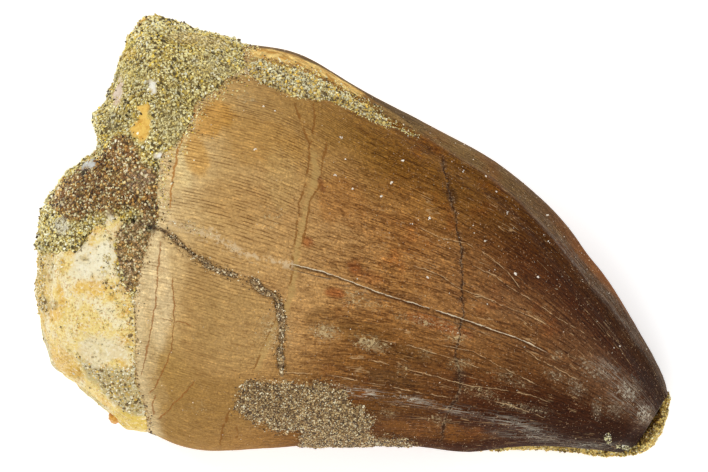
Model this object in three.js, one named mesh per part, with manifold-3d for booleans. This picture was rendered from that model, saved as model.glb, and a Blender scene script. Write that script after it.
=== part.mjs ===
// A fossil mosasaur tooth with root bone and sand matrix still stuck to it.
// It lies on its back: +X points to the tip, +Y to the convex upper edge and
// +Z out of the front face. All sizes are in millimetres, and z = 0 is the
// surface it rests on.
import * as THREE from 'three';
import { mergeVertices } from 'three/addons/utils/BufferGeometryUtils.js';
import Module from 'manifold-3d';

const wasm = await Module();
wasm.setup();

// ---- Driving dimensions ---------------------------------------------------

const GAP = 0.3;                 // clearance between touching pieces
const REACH = 60;                // how far cutting regions reach past the tooth
const CEILING = 40;              // height of the tallest cutting region

const SECTION_POWER = 2.25;      // superellipse power of the crown's section
const SECTION_SIDES = 48;        // points around the crown
const RINGS_PER_STATION = 4;     // rings between two crown stations
const TIP_ROUNDING = 0.5;        // length of the rounded end past the last station
const TIP_RINGS = 3;             // rings on the rounded end

const WEDGE_FLOOR = 12.2;        // height of the split's floor, at the back enamel
const SAND_PROUD = 0.15;         // how far sand in a split stands over the enamel
const CRUST_THICKNESS = 0.7;     // thickness of the sand crust on the face
const CRUST_FLOOR = 7.5;         // the crust doesn't reach round below this height
const CRACK_WIDTH = 1.5;         // width of the open crack that sand fills
const CRACK_DEPTH = 1.0;         // depth of that crack below the enamel

// The crown, from inside the matrix to the tip. Each station gives the upper
// and the lower edge of the outline, the heights of the front and the back
// face, and the height of the edges between them.
const CROWN_STATIONS = [
  { upper: [-17.3, 19.8], lower: [-26.5, -18.0], front: 25.4, back: 1.6, edge: 12.8 },
  { upper: [-11.3, 19.3], lower: [-20.3, -19.6], front: 26.2, back: 1.0, edge: 13.0 },
  { upper: [-5.3, 18.1], lower: [-14.8, -21.4], front: 26.2, back: 0.8, edge: 12.8 },
  { upper: [1.4, 14.3], lower: [-8.8, -21.2], front: 24.9, back: 0.7, edge: 12.0 },
  { upper: [7.7, 11.0], lower: [-2.3, -20.8], front: 23.0, back: 0.8, edge: 11.0 },
  { upper: [14.7, 7.1], lower: [4.7, -20.9], front: 20.7, back: 1.0, edge: 9.8 },
  { upper: [20.7, 2.0], lower: [11.7, -21.2], front: 17.8, back: 1.2, edge: 8.6 },
  { upper: [25.4, -4.4], lower: [18.2, -21.0], front: 14.3, back: 1.4, edge: 7.2 },
  { upper: [28.9, -10.2], lower: [23.7, -21.3], front: 10.9, back: 1.6, edge: 5.8 },
  { upper: [30.8, -13.8], lower: [26.5, -21.6], front: 8.7, back: 1.7, edge: 4.9 },
  { upper: [31.4, -15.8], lower: [28.1, -21.1], front: 7.0, back: 1.9, edge: 4.3 },
];

// The crown's base margin, where the enamel ends: from above the upper edge
// to below the lower edge.
const BASE_MARGIN = [
  [-11.8, 24.0], [-11.2, 19.4], [-10.8, 16.8], [-12.7, 15.6], [-14.2, 14.3],
  [-15.9, 13.4], [-16.1, 11.6], [-17.8, 9.1], [-19.3, 8.1], [-19.6, 5.1],
  [-19.5, 2.1], [-20.3, 0.1], [-21.3, -3.4], [-21.8, -6.4], [-21.8, -14.4],
  [-20.8, -17.4], [-20.2, -20.0], [-20.0, -25.0],
];

// The seam between the sandstone above and the bone below, from the left edge
// of the specimen to the crown's base margin.
const BONE_SEAM = [
  [-36.0, -0.6], [-31.5, -0.9], [-29.3, -1.4], [-27.8, -1.1], [-26.6, 0.6],
  [-25.5, 1.6], [-23.8, 3.0], [-22.6, 1.6], [-23.3, -0.8], [-23.4, -3.4],
  [-22.6, -5.4], [-21.9, -6.4], [-18.0, -6.8],
];

// The outline of the block at the base, sandstone and bone together. Its right
// side lies inside the crown.
const BASE_OUTLINE = [
  [-10.4, 19.3], [-14.3, 20.4], [-16.3, 20.8], [-18.5, 21.8], [-20.4, 22.1],
  [-21.3, 21.4], [-22.3, 19.9], [-23.4, 17.8], [-24.1, 15.4], [-25.0, 13.4],
  [-26.2, 12.1], [-26.3, 11.6], [-25.6, 9.9], [-25.6, 8.4], [-27.4, 7.5],
  [-29.1, 5.9], [-30.3, 4.0], [-31.2, 2.4], [-31.5, 0.1], [-31.7, -5.6],
  [-31.1, -9.4], [-30.3, -13.0], [-27.8, -14.8], [-24.7, -17.5],
  [-22.8, -19.3], [-20.3, -19.7], [-17.3, -20.4], [-12.0, -19.0],
  [-8.0, -8.0], [-6.5, 4.0], [-7.5, 17.0],
];
const BASE_CENTRE = [-19.0, 1.0];
// Height and outline scale of the block's levels, from its flat foot up.
const BASE_LEVELS = [
  [0.0, 0.84], [2.0, 0.93], [5.0, 0.985], [11.0, 1.0], [16.0, 0.985],
  [19.5, 0.94], [22.3, 0.86], [24.3, 0.74], [25.6, 0.55], [26.2, 0.3],
];

// The split along the upper edge that sand fills. It is open at the upper edge.
const SPLIT_OUTLINE = [
  [-10.7, 23.0], [-10.4, 19.2], [-10.5, 16.4], [-9.5, 15.4], [-8.1, 14.8],
  [-6.3, 14.3], [-4.2, 13.8], [-2.1, 13.3], [-0.6, 12.8], [1.1, 11.9],
  [2.7, 11.1], [4.3, 10.7], [6.8, 9.8], [5.0, 11.2], [3.3, 12.3],
  [2.0, 13.6], [1.2, 16.0], [-2.0, 20.0],
];

// The sand crust on the lower front face. It wraps over the lower edge.
const CRUST_OUTLINE = [
  [-11.0, -14.3], [-6.8, -14.4], [-2.1, -14.6], [-0.6, -15.6], [0.6, -17.0],
  [2.3, -18.6], [1.8, -19.6], [6.1, -20.2], [6.4, -23.0], [-5.6, -23.0],
  [-5.6, -19.8], [-9.4, -19.1], [-11.6, -17.9], [-12.0, -15.8],
];

// The route of the sand-filled crack, from the base margin to the crust.
const CRACK_ROUTE = [
  [-18.6, 0.4], [-17.4, -0.9], [-15.9, -2.0], [-14.2, -3.1], [-11.8, -4.1],
  [-10.1, -4.5], [-9.1, -5.6], [-7.7, -6.0], [-7.4, -7.4], [-7.1, -9.3],
  [-7.4, -11.4], [-7.2, -13.8],
];

// The pad of sand behind the tip: its outline, its centre and its levels.
const PAD_OUTLINE = [
  [31.3, -14.6], [31.7, -16.2], [31.4, -17.8], [30.8, -19.6], [29.9, -21.1],
  [28.7, -21.8], [26.9, -22.1], [24.2, -22.05], [22.4, -21.7], [17.9, -21.3],
  [13.4, -21.5], [11.9, -21.0], [12.6, -19.0], [18.0, -16.4], [23.0, -13.6],
  [28.0, -12.4],
];
const PAD_CENTRE = [24.0, -18.0];
const PAD_LEVELS = [[0.0, 0.9], [0.8, 0.97], [2.2, 1.0], [3.6, 0.99], [4.8, 0.93], [5.6, 0.8]];

// ---- Small geometry helpers -----------------------------------------------

// A smooth curve through one value or point of each crown station.
function stationCurve(pick) {
  const points = CROWN_STATIONS.map((station) => new THREE.Vector3(...pick(station)));
  return new THREE.CatmullRomCurve3(points, false, 'catmullrom', 0.5);
}

const upperEdge = stationCurve((station) => station.upper);
const lowerEdge = stationCurve((station) => station.lower);
const heights = stationCurve((station) => [station.front, station.back, station.edge]);

// The middle of a ring of points.
function middleOf(ring) {
  return ring.reduce((sum, point) => sum.add(point), new THREE.Vector3()).divideScalar(ring.length);
}

// A closed geometry over rings of equally many points, flat at both ends.
function loft(rings) {
  const sides = rings[0].length;
  const points = rings.flat();
  points.push(middleOf(rings[0]), middleOf(rings.at(-1)));
  const startCentre = points.length - 2;
  const endCentre = points.length - 1;
  const lastRing = (rings.length - 1) * sides;
  const index = [];
  for (let side = 0; side < sides; side += 1) {
    const next = (side + 1) % sides;
    for (let ring = 0; ring < rings.length - 1; ring += 1) {
      const low = ring * sides;
      const high = low + sides;
      index.push(low + side, low + next, high + side, low + next, high + next, high + side);
    }
    index.push(startCentre, next, side);
    index.push(endCentre, lastRing + side, lastRing + next);
  }
  const geometry = new THREE.BufferGeometry().setFromPoints(points);
  geometry.setIndex(index);
  return geometry;
}

// A vertical region over a plan outline, between two heights.
function region(outline, floor = -CEILING, ceiling = CEILING) {
  const shape = new THREE.Shape(outline.map(([x, y]) => new THREE.Vector2(x, y)));
  const geometry = new THREE.ExtrudeGeometry(shape, { depth: ceiling - floor, bevelEnabled: false });
  return geometry.translate(0, 0, floor);
}

// The normal to the left of the step from one plan point to the next.
function leftNormal([fromX, fromY], [toX, toY]) {
  return new THREE.Vector2(fromY - toY, toX - fromX).normalize();
}

// A plan path moved sideways by a distance, to its left as it runs, with
// mitred corners.
function offsetPath(path, distance, closed = false) {
  const count = path.length;
  return path.map((point, i) => {
    const isStart = i === 0 && !closed;
    const isEnd = i === count - 1 && !closed;
    const before = path[(i + count - 1) % count];
    const after = path[(i + 1) % count];
    const normalIn = isStart ? leftNormal(point, after) : leftNormal(before, point);
    const normalOut = isEnd ? normalIn : leftNormal(point, after);
    const mitre = normalIn.clone().add(normalOut).multiplyScalar(distance / (1 + normalIn.dot(normalOut)));
    return [point[0] + mitre.x, point[1] + mitre.y];
  });
}

// A point moved past another one, away from it, by a distance.
function pushedOut([x, y], [fromX, fromY], distance) {
  const length = Math.hypot(x - fromX, y - fromY);
  return [x + ((x - fromX) / length) * distance, y + ((y - fromY) / length) * distance];
}

// A ribbon of one width along a plan path, lengthened past both of its ends.
function ribbon(path, width, extra) {
  const start = pushedOut(path[0], path[1], extra);
  const end = pushedOut(path.at(-1), path.at(-2), extra);
  const route = [start, ...path.slice(1, -1), end];
  return [...offsetPath(route, width / 2), ...offsetPath(route, -width / 2).reverse()];
}

// A geometry as a manifold solid that can be joined and cut.
function solid(geometry) {
  const bare = geometry.clone();
  bare.deleteAttribute('normal');
  bare.deleteAttribute('uv');
  const merged = mergeVertices(bare, 1e-5);
  return new wasm.Manifold(new wasm.Mesh({
    numProp: 3,
    vertProperties: new Float32Array(merged.attributes.position.array),
    triVerts: new Uint32Array(merged.index.array),
  }));
}

// A named mesh of a solid, with its own material.
function piece(name, body, color, roughness) {
  const { numProp, vertProperties, triVerts } = body.getMesh();
  const geometry = new THREE.BufferGeometry();
  const interleaved = new THREE.InterleavedBuffer(vertProperties, numProp);
  geometry.setAttribute('position', new THREE.InterleavedBufferAttribute(interleaved, 3, 0));
  geometry.setIndex(Array.from(triVerts));
  geometry.computeVertexNormals();
  const material = new THREE.MeshStandardMaterial({ color, roughness, metalness: 0 });
  const mesh = new THREE.Mesh(geometry, material);
  mesh.name = name;
  return mesh;
}

// ---- The crown's body -----------------------------------------------------

// Cosine and sine bent to the section's superellipse.
function bent(value) {
  return Math.sign(value) * Math.abs(value) ** (2 / SECTION_POWER);
}

// One ring of the crown at a place from 0 (inside the matrix) to 1 (tip),
// grown outward, drawn in by a factor and moved along the crown.
function crownRing(place, grow, scale, advance) {
  const upper = upperEdge.getPoint(place);
  const lower = lowerEdge.getPoint(place);
  const { x: front, y: back, z: edge } = heights.getPoint(place);
  const middle = upper.clone().add(lower).divideScalar(2);
  const half = upper.clone().sub(lower).divideScalar(2);
  const along = new THREE.Vector3(half.y, -half.x, 0).normalize();
  half.setLength(half.length() * scale + grow);
  return Array.from({ length: SECTION_SIDES }, (_, side) => {
    const angle = (side / SECTION_SIDES) * 2 * Math.PI;
    const rise = bent(Math.sin(angle));
    const depth = (rise > 0 ? front - edge : edge - back) * scale + grow;
    return middle.clone()
      .addScaledVector(half, bent(Math.cos(angle)))
      .addScaledVector(along, advance)
      .setZ(edge + depth * rise);
  });
}

// The whole crown, from inside the matrix to its rounded tip, grown outward
// by a distance.
function crownBody(grow = 0) {
  const steps = (CROWN_STATIONS.length - 1) * RINGS_PER_STATION;
  const rings = Array.from({ length: steps + 1 }, (_, i) => crownRing(i / steps, grow, 1, 0));
  for (let i = 1; i <= TIP_RINGS; i += 1) {
    const turn = (i / (TIP_RINGS + 0.5)) * (Math.PI / 2);
    rings.push(crownRing(1, grow * Math.cos(turn), Math.cos(turn), (TIP_ROUNDING + grow) * Math.sin(turn)));
  }
  return solid(loft(rings));
}

// ---- Lumps of stone -------------------------------------------------------

// A lump with one plan outline, drawn in towards its centre level by level.
function lump(outline, [centreX, centreY], levels) {
  const counterclockwise = THREE.ShapeUtils.isClockWise(outline.map(([x, y]) => ({ x, y })))
    ? outline.toReversed() : outline;
  const rings = levels.map(([height, scale]) => counterclockwise.map(([x, y]) => new THREE.Vector3(
    centreX + (x - centreX) * scale,
    centreY + (y - centreY) * scale,
    height,
  )));
  return solid(loft(rings));
}

// The base margin runs downwards, so the crown lies to its left and the base
// block to its right.
const crownSide = solid(region([...offsetPath(BASE_MARGIN, GAP / 2), [REACH, -REACH], [REACH, REACH]]));
const baseSide = solid(region([...offsetPath(BASE_MARGIN, -GAP / 2), [-REACH, -REACH], [-REACH, REACH]]));
// The bone seam runs to the right, so the sandstone lies to its left.
const aboveSeam = solid(region([...offsetPath(BONE_SEAM, GAP / 2), [REACH, REACH], [-REACH, REACH]]));
const belowSeam = solid(region([...offsetPath(BONE_SEAM, -GAP / 2), [REACH, -REACH], [-REACH, -REACH]]));

// A layer over or in the crown's front face, between two distances from the
// enamel, over a plan outline.
function frontLayer(outline, inner, outer) {
  const layer = crownBody(outer).subtract(crownBody(inner));
  return layer.intersect(solid(region(outline, CRUST_FLOOR)));
}

function toothCrown() {
  const split = solid(region(SPLIT_OUTLINE, WEDGE_FLOOR));
  const crack = frontLayer(ribbon(CRACK_ROUTE, CRACK_WIDTH, GAP), -CRACK_DEPTH, 2 * GAP);
  return crownBody().intersect(crownSide).subtract(split).subtract(crack);
}

const baseBlock = lump(BASE_OUTLINE, BASE_CENTRE, BASE_LEVELS).intersect(baseSide);

function baseMatrix() {
  return baseBlock.intersect(aboveSeam);
}

function rootBone() {
  return baseBlock.intersect(belowSeam);
}

function ridgeMatrix() {
  const inside = solid(region(offsetPath(SPLIT_OUTLINE, GAP, true), WEDGE_FLOOR + GAP));
  return crownBody(SAND_PROUD).intersect(inside).intersect(crownSide);
}

function faceCrust() {
  return frontLayer(CRUST_OUTLINE, GAP, GAP + CRUST_THICKNESS);
}

function crackSand() {
  return frontLayer(ribbon(CRACK_ROUTE, CRACK_WIDTH - 2 * GAP, 0), GAP - CRACK_DEPTH, SAND_PROUD);
}

// The back face slopes steeply towards the tip, so a crown grown straight
// outward by twice the gap leaves about one gap between it and the pad.
function tipMatrix() {
  return lump(PAD_OUTLINE, PAD_CENTRE, PAD_LEVELS).subtract(crownBody(2 * GAP));
}

// ---- The specimen ---------------------------------------------------------

const tooth = new THREE.Group();
tooth.add(
  piece('tooth_crown', toothCrown(), 0x7a4b22, 0.4),
  piece('root_bone', rootBone(), 0xd9c48c, 0.85),
  piece('base_matrix', baseMatrix(), 0x8f8148, 0.95),
  piece('ridge_matrix', ridgeMatrix(), 0xb3a06a, 0.95),
  piece('face_crust', faceCrust(), 0x86694a, 0.95),
  piece('crack_sand', crackSand(), 0x7c6a52, 0.95),
  piece('tip_matrix', tipMatrix(), 0xc9a552, 0.95),
);

export default tooth;
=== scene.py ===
"""A fossil mosasaur tooth with root bone and sand matrix, on a pale floor.

Shapes are worked out in millimetres, in the CAD model's frame, and become
metres when their mesh is made. The front face looks up, the tip points to +X.
"""

import math

import bmesh
import bpy
import numpy as np
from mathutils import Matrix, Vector
from mathutils.kdtree import KDTree


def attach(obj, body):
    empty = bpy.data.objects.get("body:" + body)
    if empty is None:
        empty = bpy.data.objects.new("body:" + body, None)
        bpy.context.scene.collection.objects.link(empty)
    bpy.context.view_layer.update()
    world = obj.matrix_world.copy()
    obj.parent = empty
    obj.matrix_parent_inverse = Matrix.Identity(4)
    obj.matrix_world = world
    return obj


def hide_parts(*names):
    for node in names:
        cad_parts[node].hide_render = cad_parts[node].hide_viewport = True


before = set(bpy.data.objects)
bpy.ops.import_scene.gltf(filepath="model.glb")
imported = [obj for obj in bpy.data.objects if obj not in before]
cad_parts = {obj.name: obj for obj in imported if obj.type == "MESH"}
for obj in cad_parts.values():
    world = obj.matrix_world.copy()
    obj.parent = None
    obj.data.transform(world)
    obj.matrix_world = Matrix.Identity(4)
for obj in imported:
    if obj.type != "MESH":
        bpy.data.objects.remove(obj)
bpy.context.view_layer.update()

MM = 0.001
RNG = np.random.default_rng(7)

# ---- The crown's shape, as in the CAD model ---------------------------------

# Upper edge x, y; lower edge x, y; height of the front face, the back face and
# the edges between them. Rows run from inside the matrix to the tip.
CROWN_STATIONS = np.array([
    [-17.3, 19.8, -26.5, -18.0, 25.4, 1.6, 12.8],
    [-11.3, 19.3, -20.3, -19.6, 26.2, 1.0, 13.0],
    [-5.3, 18.1, -14.8, -21.4, 26.2, 0.8, 12.8],
    [1.4, 14.3, -8.8, -21.2, 24.9, 0.7, 12.0],
    [7.7, 11.0, -2.3, -20.8, 23.0, 0.8, 11.0],
    [14.7, 7.1, 4.7, -20.9, 20.7, 1.0, 9.8],
    [20.7, 2.0, 11.7, -21.2, 17.8, 1.2, 8.6],
    [25.4, -4.4, 18.2, -21.0, 14.3, 1.4, 7.2],
    [28.9, -10.2, 23.7, -21.3, 10.9, 1.6, 5.8],
    [30.8, -13.8, 26.5, -21.6, 8.7, 1.7, 4.9],
    [31.4, -15.8, 28.1, -21.1, 7.0, 1.9, 4.3],
])
SECTION_POWER = 2.25
TIP_ROUNDING = 0.5
FLOW_RADIUS = 17.0          # the circle on which the striae's pattern is laid

CROWN_ROWS = 268            # rings from the base margin to the last station
CROWN_CAP_ROWS = 12         # rings on the rounded tip
FRONT_COLUMNS = 230         # points across the front face
BACK_COLUMNS = 108          # points across the back face
SEAM_ANGLE = 0.12           # how far the front columns reach past the edges
ROW_SPREAD = 0.97           # below 1, the rings lie closer together towards the tip
CAP_SWEEP = 0.985           # share of the rounded tip that the rings cover before the fan
UNDER_MARGIN = 0.5          # how far the enamel runs on under the matrix
BASE_CENTRE_SHIFT = (-1.5, -0.3, 0.0)     # from the base ring's middle into the matrix

# The enamel's base margin in plan, from above the upper edge to below the lower.
BASE_MARGIN = np.array([
    [-11.8, 24.0], [-11.2, 19.4], [-10.8, 16.8], [-12.7, 15.6], [-14.2, 14.3],
    [-15.9, 13.4], [-16.1, 11.6], [-17.8, 9.1], [-19.3, 8.1], [-19.6, 5.1],
    [-19.5, 2.1], [-20.3, 0.1], [-21.3, -3.4], [-21.8, -6.4], [-21.8, -14.4],
    [-20.8, -17.4], [-20.2, -20.0], [-20.0, -25.0],
])

# ---- Numbers, noise and paths -----------------------------------------------

# The turn between two octaves of noise, so that its cells don't line up.
OCTAVE_TURN = np.array([[0.36, 0.48, -0.80], [-0.80, 0.60, 0.00], [0.48, 0.64, 0.60]])


def smooth(low, high, value):
    """A soft step from 0 at low to 1 at high."""
    t = np.clip((value - low) / (high - low), 0.0, 1.0)
    return t * t * (3.0 - 2.0 * t)


def lattice(cell, seed):
    """A repeatable random number from 0 to 1 for each whole-number cell."""
    x, y, z = (cell[..., k].astype(np.int64) for k in range(3))
    value = (x * 374761393 + y * 668265263 + z * 1440662683 + seed * 974634777) & 0xFFFFFFFF
    value = ((value ^ (value >> 13)) * 1274126177) & 0xFFFFFFFF
    value = ((value ^ (value >> 16)) * 2246822519) & 0xFFFFFFFF
    return (value ^ (value >> 15)) / 0xFFFFFFFF


def noise(points, size, seed):
    """Smooth noise from -1 to 1 with bumps about one size across."""
    scaled = points / size
    cell = np.floor(scaled)
    t = scaled - cell
    t = t * t * t * (t * (6.0 * t - 15.0) + 10.0)
    total = np.zeros(len(points))
    for corner in np.ndindex(2, 2, 2):
        weight = np.prod(np.where(corner, t, 1.0 - t), axis=-1)
        total += weight * lattice(cell + np.array(corner), seed)
    return total * 2.0 - 1.0


def rough(points, size, seed, octaves=3):
    """Noise with finer bumps on the coarse ones, from about -1 to 1."""
    total = np.zeros(len(points))
    for octave in range(octaves):
        points = points @ OCTAVE_TURN
        total += noise(points, size / 2 ** octave, seed + octave) / 2 ** octave
    return total / 1.6


def cell_distance(points, size, seed):
    """Distance to the nearest scattered point, in cells: 0 at it, about 1 away."""
    scaled = points / size
    cell = np.floor(scaled)
    nearest = np.full(len(points), 9.0)
    for step in np.ndindex(3, 3, 3):
        there = cell + np.array(step) - 1.0
        spot = there + np.stack([lattice(there, seed + k) for k in range(3)], -1)
        nearest = np.minimum(nearest, ((spot - scaled) ** 2).sum(-1))
    return np.sqrt(nearest)


def path_distance(points, path):
    """Signed distance from plan points to a path, positive on its left, and how
    far along it the nearest place is, from 0 to 1."""
    path = np.asarray(path, float)
    best = np.full(len(points), 1e9)
    signed = np.zeros(len(points))
    along = np.zeros(len(points))
    travelled = 0.0
    for start, end in zip(path[:-1], path[1:]):
        length = math.dist(start, end)
        direction = (end - start) / length
        offset = points[:, :2] - start
        reach = np.clip(offset @ direction, 0.0, length)
        distance = np.linalg.norm(offset - reach[:, None] * direction, axis=1)
        closer = distance < best
        best = np.where(closer, distance, best)
        side = direction[0] * offset[:, 1] - direction[1] * offset[:, 0]
        signed = np.where(closer, np.copysign(distance, side), signed)
        along = np.where(closer, travelled + reach, along)
        travelled += length
    return signed, along / travelled


def inside_distance(points, outline):
    """Distance from plan points to a closed outline, positive inside it."""
    outline = np.asarray(outline, float)
    distance = np.abs(path_distance(points, np.vstack([outline, outline[:1]]))[0])
    inside = np.zeros(len(points), bool)
    for (x0, y0), (x1, y1) in zip(outline, np.roll(outline, -1, axis=0)):
        spans = (y0 > points[:, 1]) != (y1 > points[:, 1])
        crossing = x0 + (points[:, 1] - y0) * (x1 - x0) / ((y1 - y0) or 1e-9)
        inside ^= spans & (points[:, 0] < crossing)
    return np.where(inside, distance, -distance)


def patch(points, x, y, across, up, turn=0.0):
    """A soft oval in plan: 1 at its centre, 0.37 at its radii."""
    c, s = math.cos(math.radians(turn)), math.sin(math.radians(turn))
    dx, dy = points[:, 0] - x, points[:, 1] - y
    return np.exp(-((dx * c + dy * s) / across) ** 2 - ((dy * c - dx * s) / up) ** 2)


def ovals(points, features):
    """Soft ovals in plan at each point, one row an oval. Each feature is its
    centre, radii, turn and strength."""
    return np.array([strength * patch(points, *oval) for *oval, strength in features])


def bent(value):
    """A cosine or sine bent to the section's superellipse."""
    return np.sign(value) * np.abs(value) ** (2.0 / SECTION_POWER)


def crown_points(place, angle, turn=0.0):
    """Points on the smooth crown. Place runs from 0, inside the matrix, to 1.
    Angle 0 is the upper edge and a quarter turn the middle of the front face.
    Turn rounds off the tip."""
    table = CROWN_STATIONS
    last = len(table) - 1
    spot = np.clip(place, 0.0, 1.0) * last
    index = np.minimum(spot.astype(int), last - 1)
    t = (spot - index)[..., None]
    padded = np.vstack([2 * table[0] - table[1], table, 2 * table[-1] - table[-2]])
    p0, p1, p2, p3 = (padded[index + k] for k in range(4))
    values = 0.5 * (2 * p1 + (p2 - p0) * t + (2 * p0 - 5 * p1 + 4 * p2 - p3) * t ** 2
                    + (3 * p1 - p0 - 3 * p2 + p3) * t ** 3)
    upper, lower = values[..., 0:2], values[..., 2:4]
    front, back, edge = (values[..., k] for k in (4, 5, 6))
    middle = (upper + lower) / 2
    half = (upper - lower) / 2
    length = np.linalg.norm(half, axis=-1, keepdims=True)
    forward = np.stack([half[..., 1], -half[..., 0]], -1) / length
    across = bent(np.cos(angle)) * np.cos(turn)
    rise = bent(np.sin(angle))
    depth = np.where(rise > 0, front - edge, edge - back) * np.cos(turn)
    plan = middle + half * across[..., None] + forward * np.asarray(TIP_ROUNDING * np.sin(turn))[..., None]
    return np.concatenate([plan, (edge + depth * rise)[..., None]], -1)


def grid_normals(points, closed=False):
    """Outward normals of a grid of points on the crown."""
    if closed:
        points = np.concatenate([points[:, -1:], points, points[:, :1]], 1)
    normal = np.cross(np.gradient(points, axis=1), np.gradient(points, axis=0))
    normal /= np.maximum(np.linalg.norm(normal, axis=-1, keepdims=True), 1e-9)
    return normal[:, 1:-1] if closed else normal


# ---- Meshes -----------------------------------------------------------------


def make_mesh(name, vertices, faces, smooth_shading=True):
    """A mesh object from vertices in millimetres and faces of one size."""
    faces = np.asarray(faces)
    corners = faces.shape[1]
    mesh = bpy.data.meshes.new(name)
    mesh.vertices.add(len(vertices))
    mesh.vertices.foreach_set("co", (np.asarray(vertices) * MM).astype(np.float32).ravel())
    mesh.loops.add(faces.size)
    mesh.loops.foreach_set("vertex_index", faces.astype(np.int32).ravel())
    mesh.polygons.add(len(faces))
    mesh.polygons.foreach_set("loop_start", np.arange(0, faces.size, corners, dtype=np.int32))
    mesh.update(calc_edges=True)
    mesh.polygons.foreach_set("use_smooth", np.full(len(faces), smooth_shading))
    obj = bpy.data.objects.new(name, mesh)
    bpy.context.scene.collection.objects.link(obj)
    return obj


def set_attribute(obj, name, values):
    """Stores a number, a vector or, as tint, a linear colour per vertex."""
    values = np.asarray(values, np.float32)
    if name == "tint":
        values = np.concatenate([values, np.ones((len(values), 1), np.float32)], 1)
        kind, key = "FLOAT_COLOR", "color"
    elif values.ndim == 2:
        kind, key = "FLOAT_VECTOR", "vector"
    else:
        kind, key = "FLOAT", "value"
    obj.data.attributes.new(name, kind, "POINT").data.foreach_set(key, values.ravel())


def set_bake_map(obj, places):
    """Lays out the surface for the bake, one place per face corner."""
    layer = obj.data.uv_layers.new(name="OFBake")
    layer.data.foreach_set("uv", np.asarray(places, np.float32).ravel())


def six_sided_map(vertices, faces):
    """A bake layout that looks at the shape from its six sides, side by side."""
    corners = vertices[faces]
    normal = np.cross(corners[:, 2] - corners[:, 0], corners[:, -1] - corners[:, 1])
    axis = np.abs(normal).argmax(1)
    side = axis * 2 + (normal[np.arange(len(axis)), axis] > 0)
    low, high = vertices.min(0), vertices.max(0)
    unit = (corners - low) / (high - low)
    first = np.take_along_axis(unit, ((axis + 1) % 3)[:, None, None], 2)[..., 0]
    second = np.take_along_axis(unit, ((axis + 2) % 3)[:, None, None], 2)[..., 0]
    column = (side % 3)[:, None]
    row = (side // 3)[:, None]
    return np.stack([(column + 0.02 + 0.96 * first) / 3, (row + 0.02 + 0.96 * second) / 2], -1)


def grid_faces(rows, columns, closed=False):
    """Faces of a grid of points, whose columns may close on themselves."""
    row = np.arange(rows - 1)[:, None] * columns
    column = np.arange(columns if closed else columns - 1)[None, :]
    following = (column + 1) % columns
    quads = np.stack([row + column, row + following, row + columns + following, row + columns + column], -1)
    return quads.reshape(-1, 4)


def linear(red, green, blue):
    """A colour given as on screen, 0 to 255, as linear light."""
    screen = np.array([red, green, blue]) / 255.0
    return np.where(screen <= 0.04045, screen / 12.92, ((screen + 0.055) / 1.055) ** 2.4)


def blend_stops(value, stops):
    """Linear colours between stops of (value, screen colour), for an array of values."""
    at = [stop for stop, colour in stops]
    colours = np.array([linear(*colour) for stop, colour in stops])
    return np.stack([np.interp(value, at, channel) for channel in colours.T], -1)


def mixed(base, colour, amount):
    """A colour array taken towards one colour by an amount per vertex."""
    return base + (np.asarray(colour) - base) * np.clip(amount, 0.0, 1.0)[:, None]


def stained(tint, points, stains, seed, ragged=0.5):
    """A colour array with ragged stains laid on it in plan. Each stain is its
    centre, radii, turn, colour as on screen and strength."""
    edge = ragged * rough(points, 1.2, seed, 4)
    for x, y, across, up, turn, colour, strength in stains:
        amount = patch(points, x, y, across, up, turn)
        tint = mixed(tint, linear(*colour), strength * smooth(0.25, 0.62, amount + edge * amount))
    return tint


# ---- Lines on the enamel ----------------------------------------------------

# Each path is in plan, in millimetres. A pale vein runs down the crown, with a
# broken ochre crack on each side of it.
VEIN = [(-4.2, 8.9), (-3.7, 6.3), (-4.2, 4.5), (-4.7, 3.3), (-5.2, 1.2), (-5.6, -0.8), (-5.9, -3.0),
        (-6.2, -5.4), (-6.9, -7.5), (-8.1, -9.2), (-8.9, -11.2), (-9.9, -13.8)]
VEIN_LEFT = [(-6.1, 13.8), (-5.8, 12.8), (-5.1, 10.8), (-4.4, 9.1), (-4.5, 7.5), (-4.8, 5.6),
             (-5.4, 3.6), (-5.7, 0.8), (-6.1, -1.5), (-6.2, -3.7), (-6.5, -5.7), (-8.5, -9.7),
             (-9.5, -12.2), (-10.2, -13.9), (-11.0, -14.4)]
VEIN_FORK = [(-4.0, 13.4), (-3.9, 12.4), (-4.0, 11.2), (-4.2, 9.9), (-4.4, 9.1)]
VEIN_RIGHT = [(-2.9, 9.7), (-2.8, 8.5), (-3.2, 7.3), (-3.4, 5.4), (-3.6, 4.7), (-4.3, 3.6), (-5.0, -0.1),
              (-5.7, -2.0)]
VEIN_FOOT = [(-12.4, -17.3), (-13.1, -19.2), (-13.4, -20.9)]
VEIN_FOOT_RIGHT = [(-11.7, -19.0), (-11.8, -20.7)]
# The dark zigzag crack across the middle of the crown.
DARK_CRACK = [(8.7, 8.6), (9.0, 7.0), (9.6, 4.4), (9.8, 3.6), (10.1, 2.3), (10.4, 0.4), (10.9, -1.6),
              (10.7, -2.6), (10.9, -3.9), (10.7, -6.1), (11.0, -7.8), (10.6, -8.9), (10.6, -10.2),
              (10.3, -11.4), (10.3, -12.6), (10.6, -13.6), (10.6, -15.0), (10.3, -16.4), (9.5, -17.2),
              (9.0, -18.9), (8.7, -20.9)]
# The long crack towards the tip, and the pale crumbly lines that lead to it.
LONG_CRACK = [(-6.6, -2.7), (-3.3, -3.5), (-1.8, -4.0), (0.0, -4.7), (1.4, -5.2), (2.4, -5.6), (4.1, -6.2),
              (5.6, -6.6), (7.1, -7.1), (9.4, -7.8), (11.8, -8.6), (13.9, -9.4), (15.5, -9.9),
              (17.5, -10.7), (19.6, -11.8)]
PALE_SMEAR = [(-18.7, 1.5), (-16.2, 0.7), (-13.3, -0.5), (-11.2, -2.1)]
PALE_SMEAR_LONG = [(-14.6, 0.9), (-12.4, -0.9), (-10.2, -2.0), (-8.0, -2.5), (-5.8, -2.9)]
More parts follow.
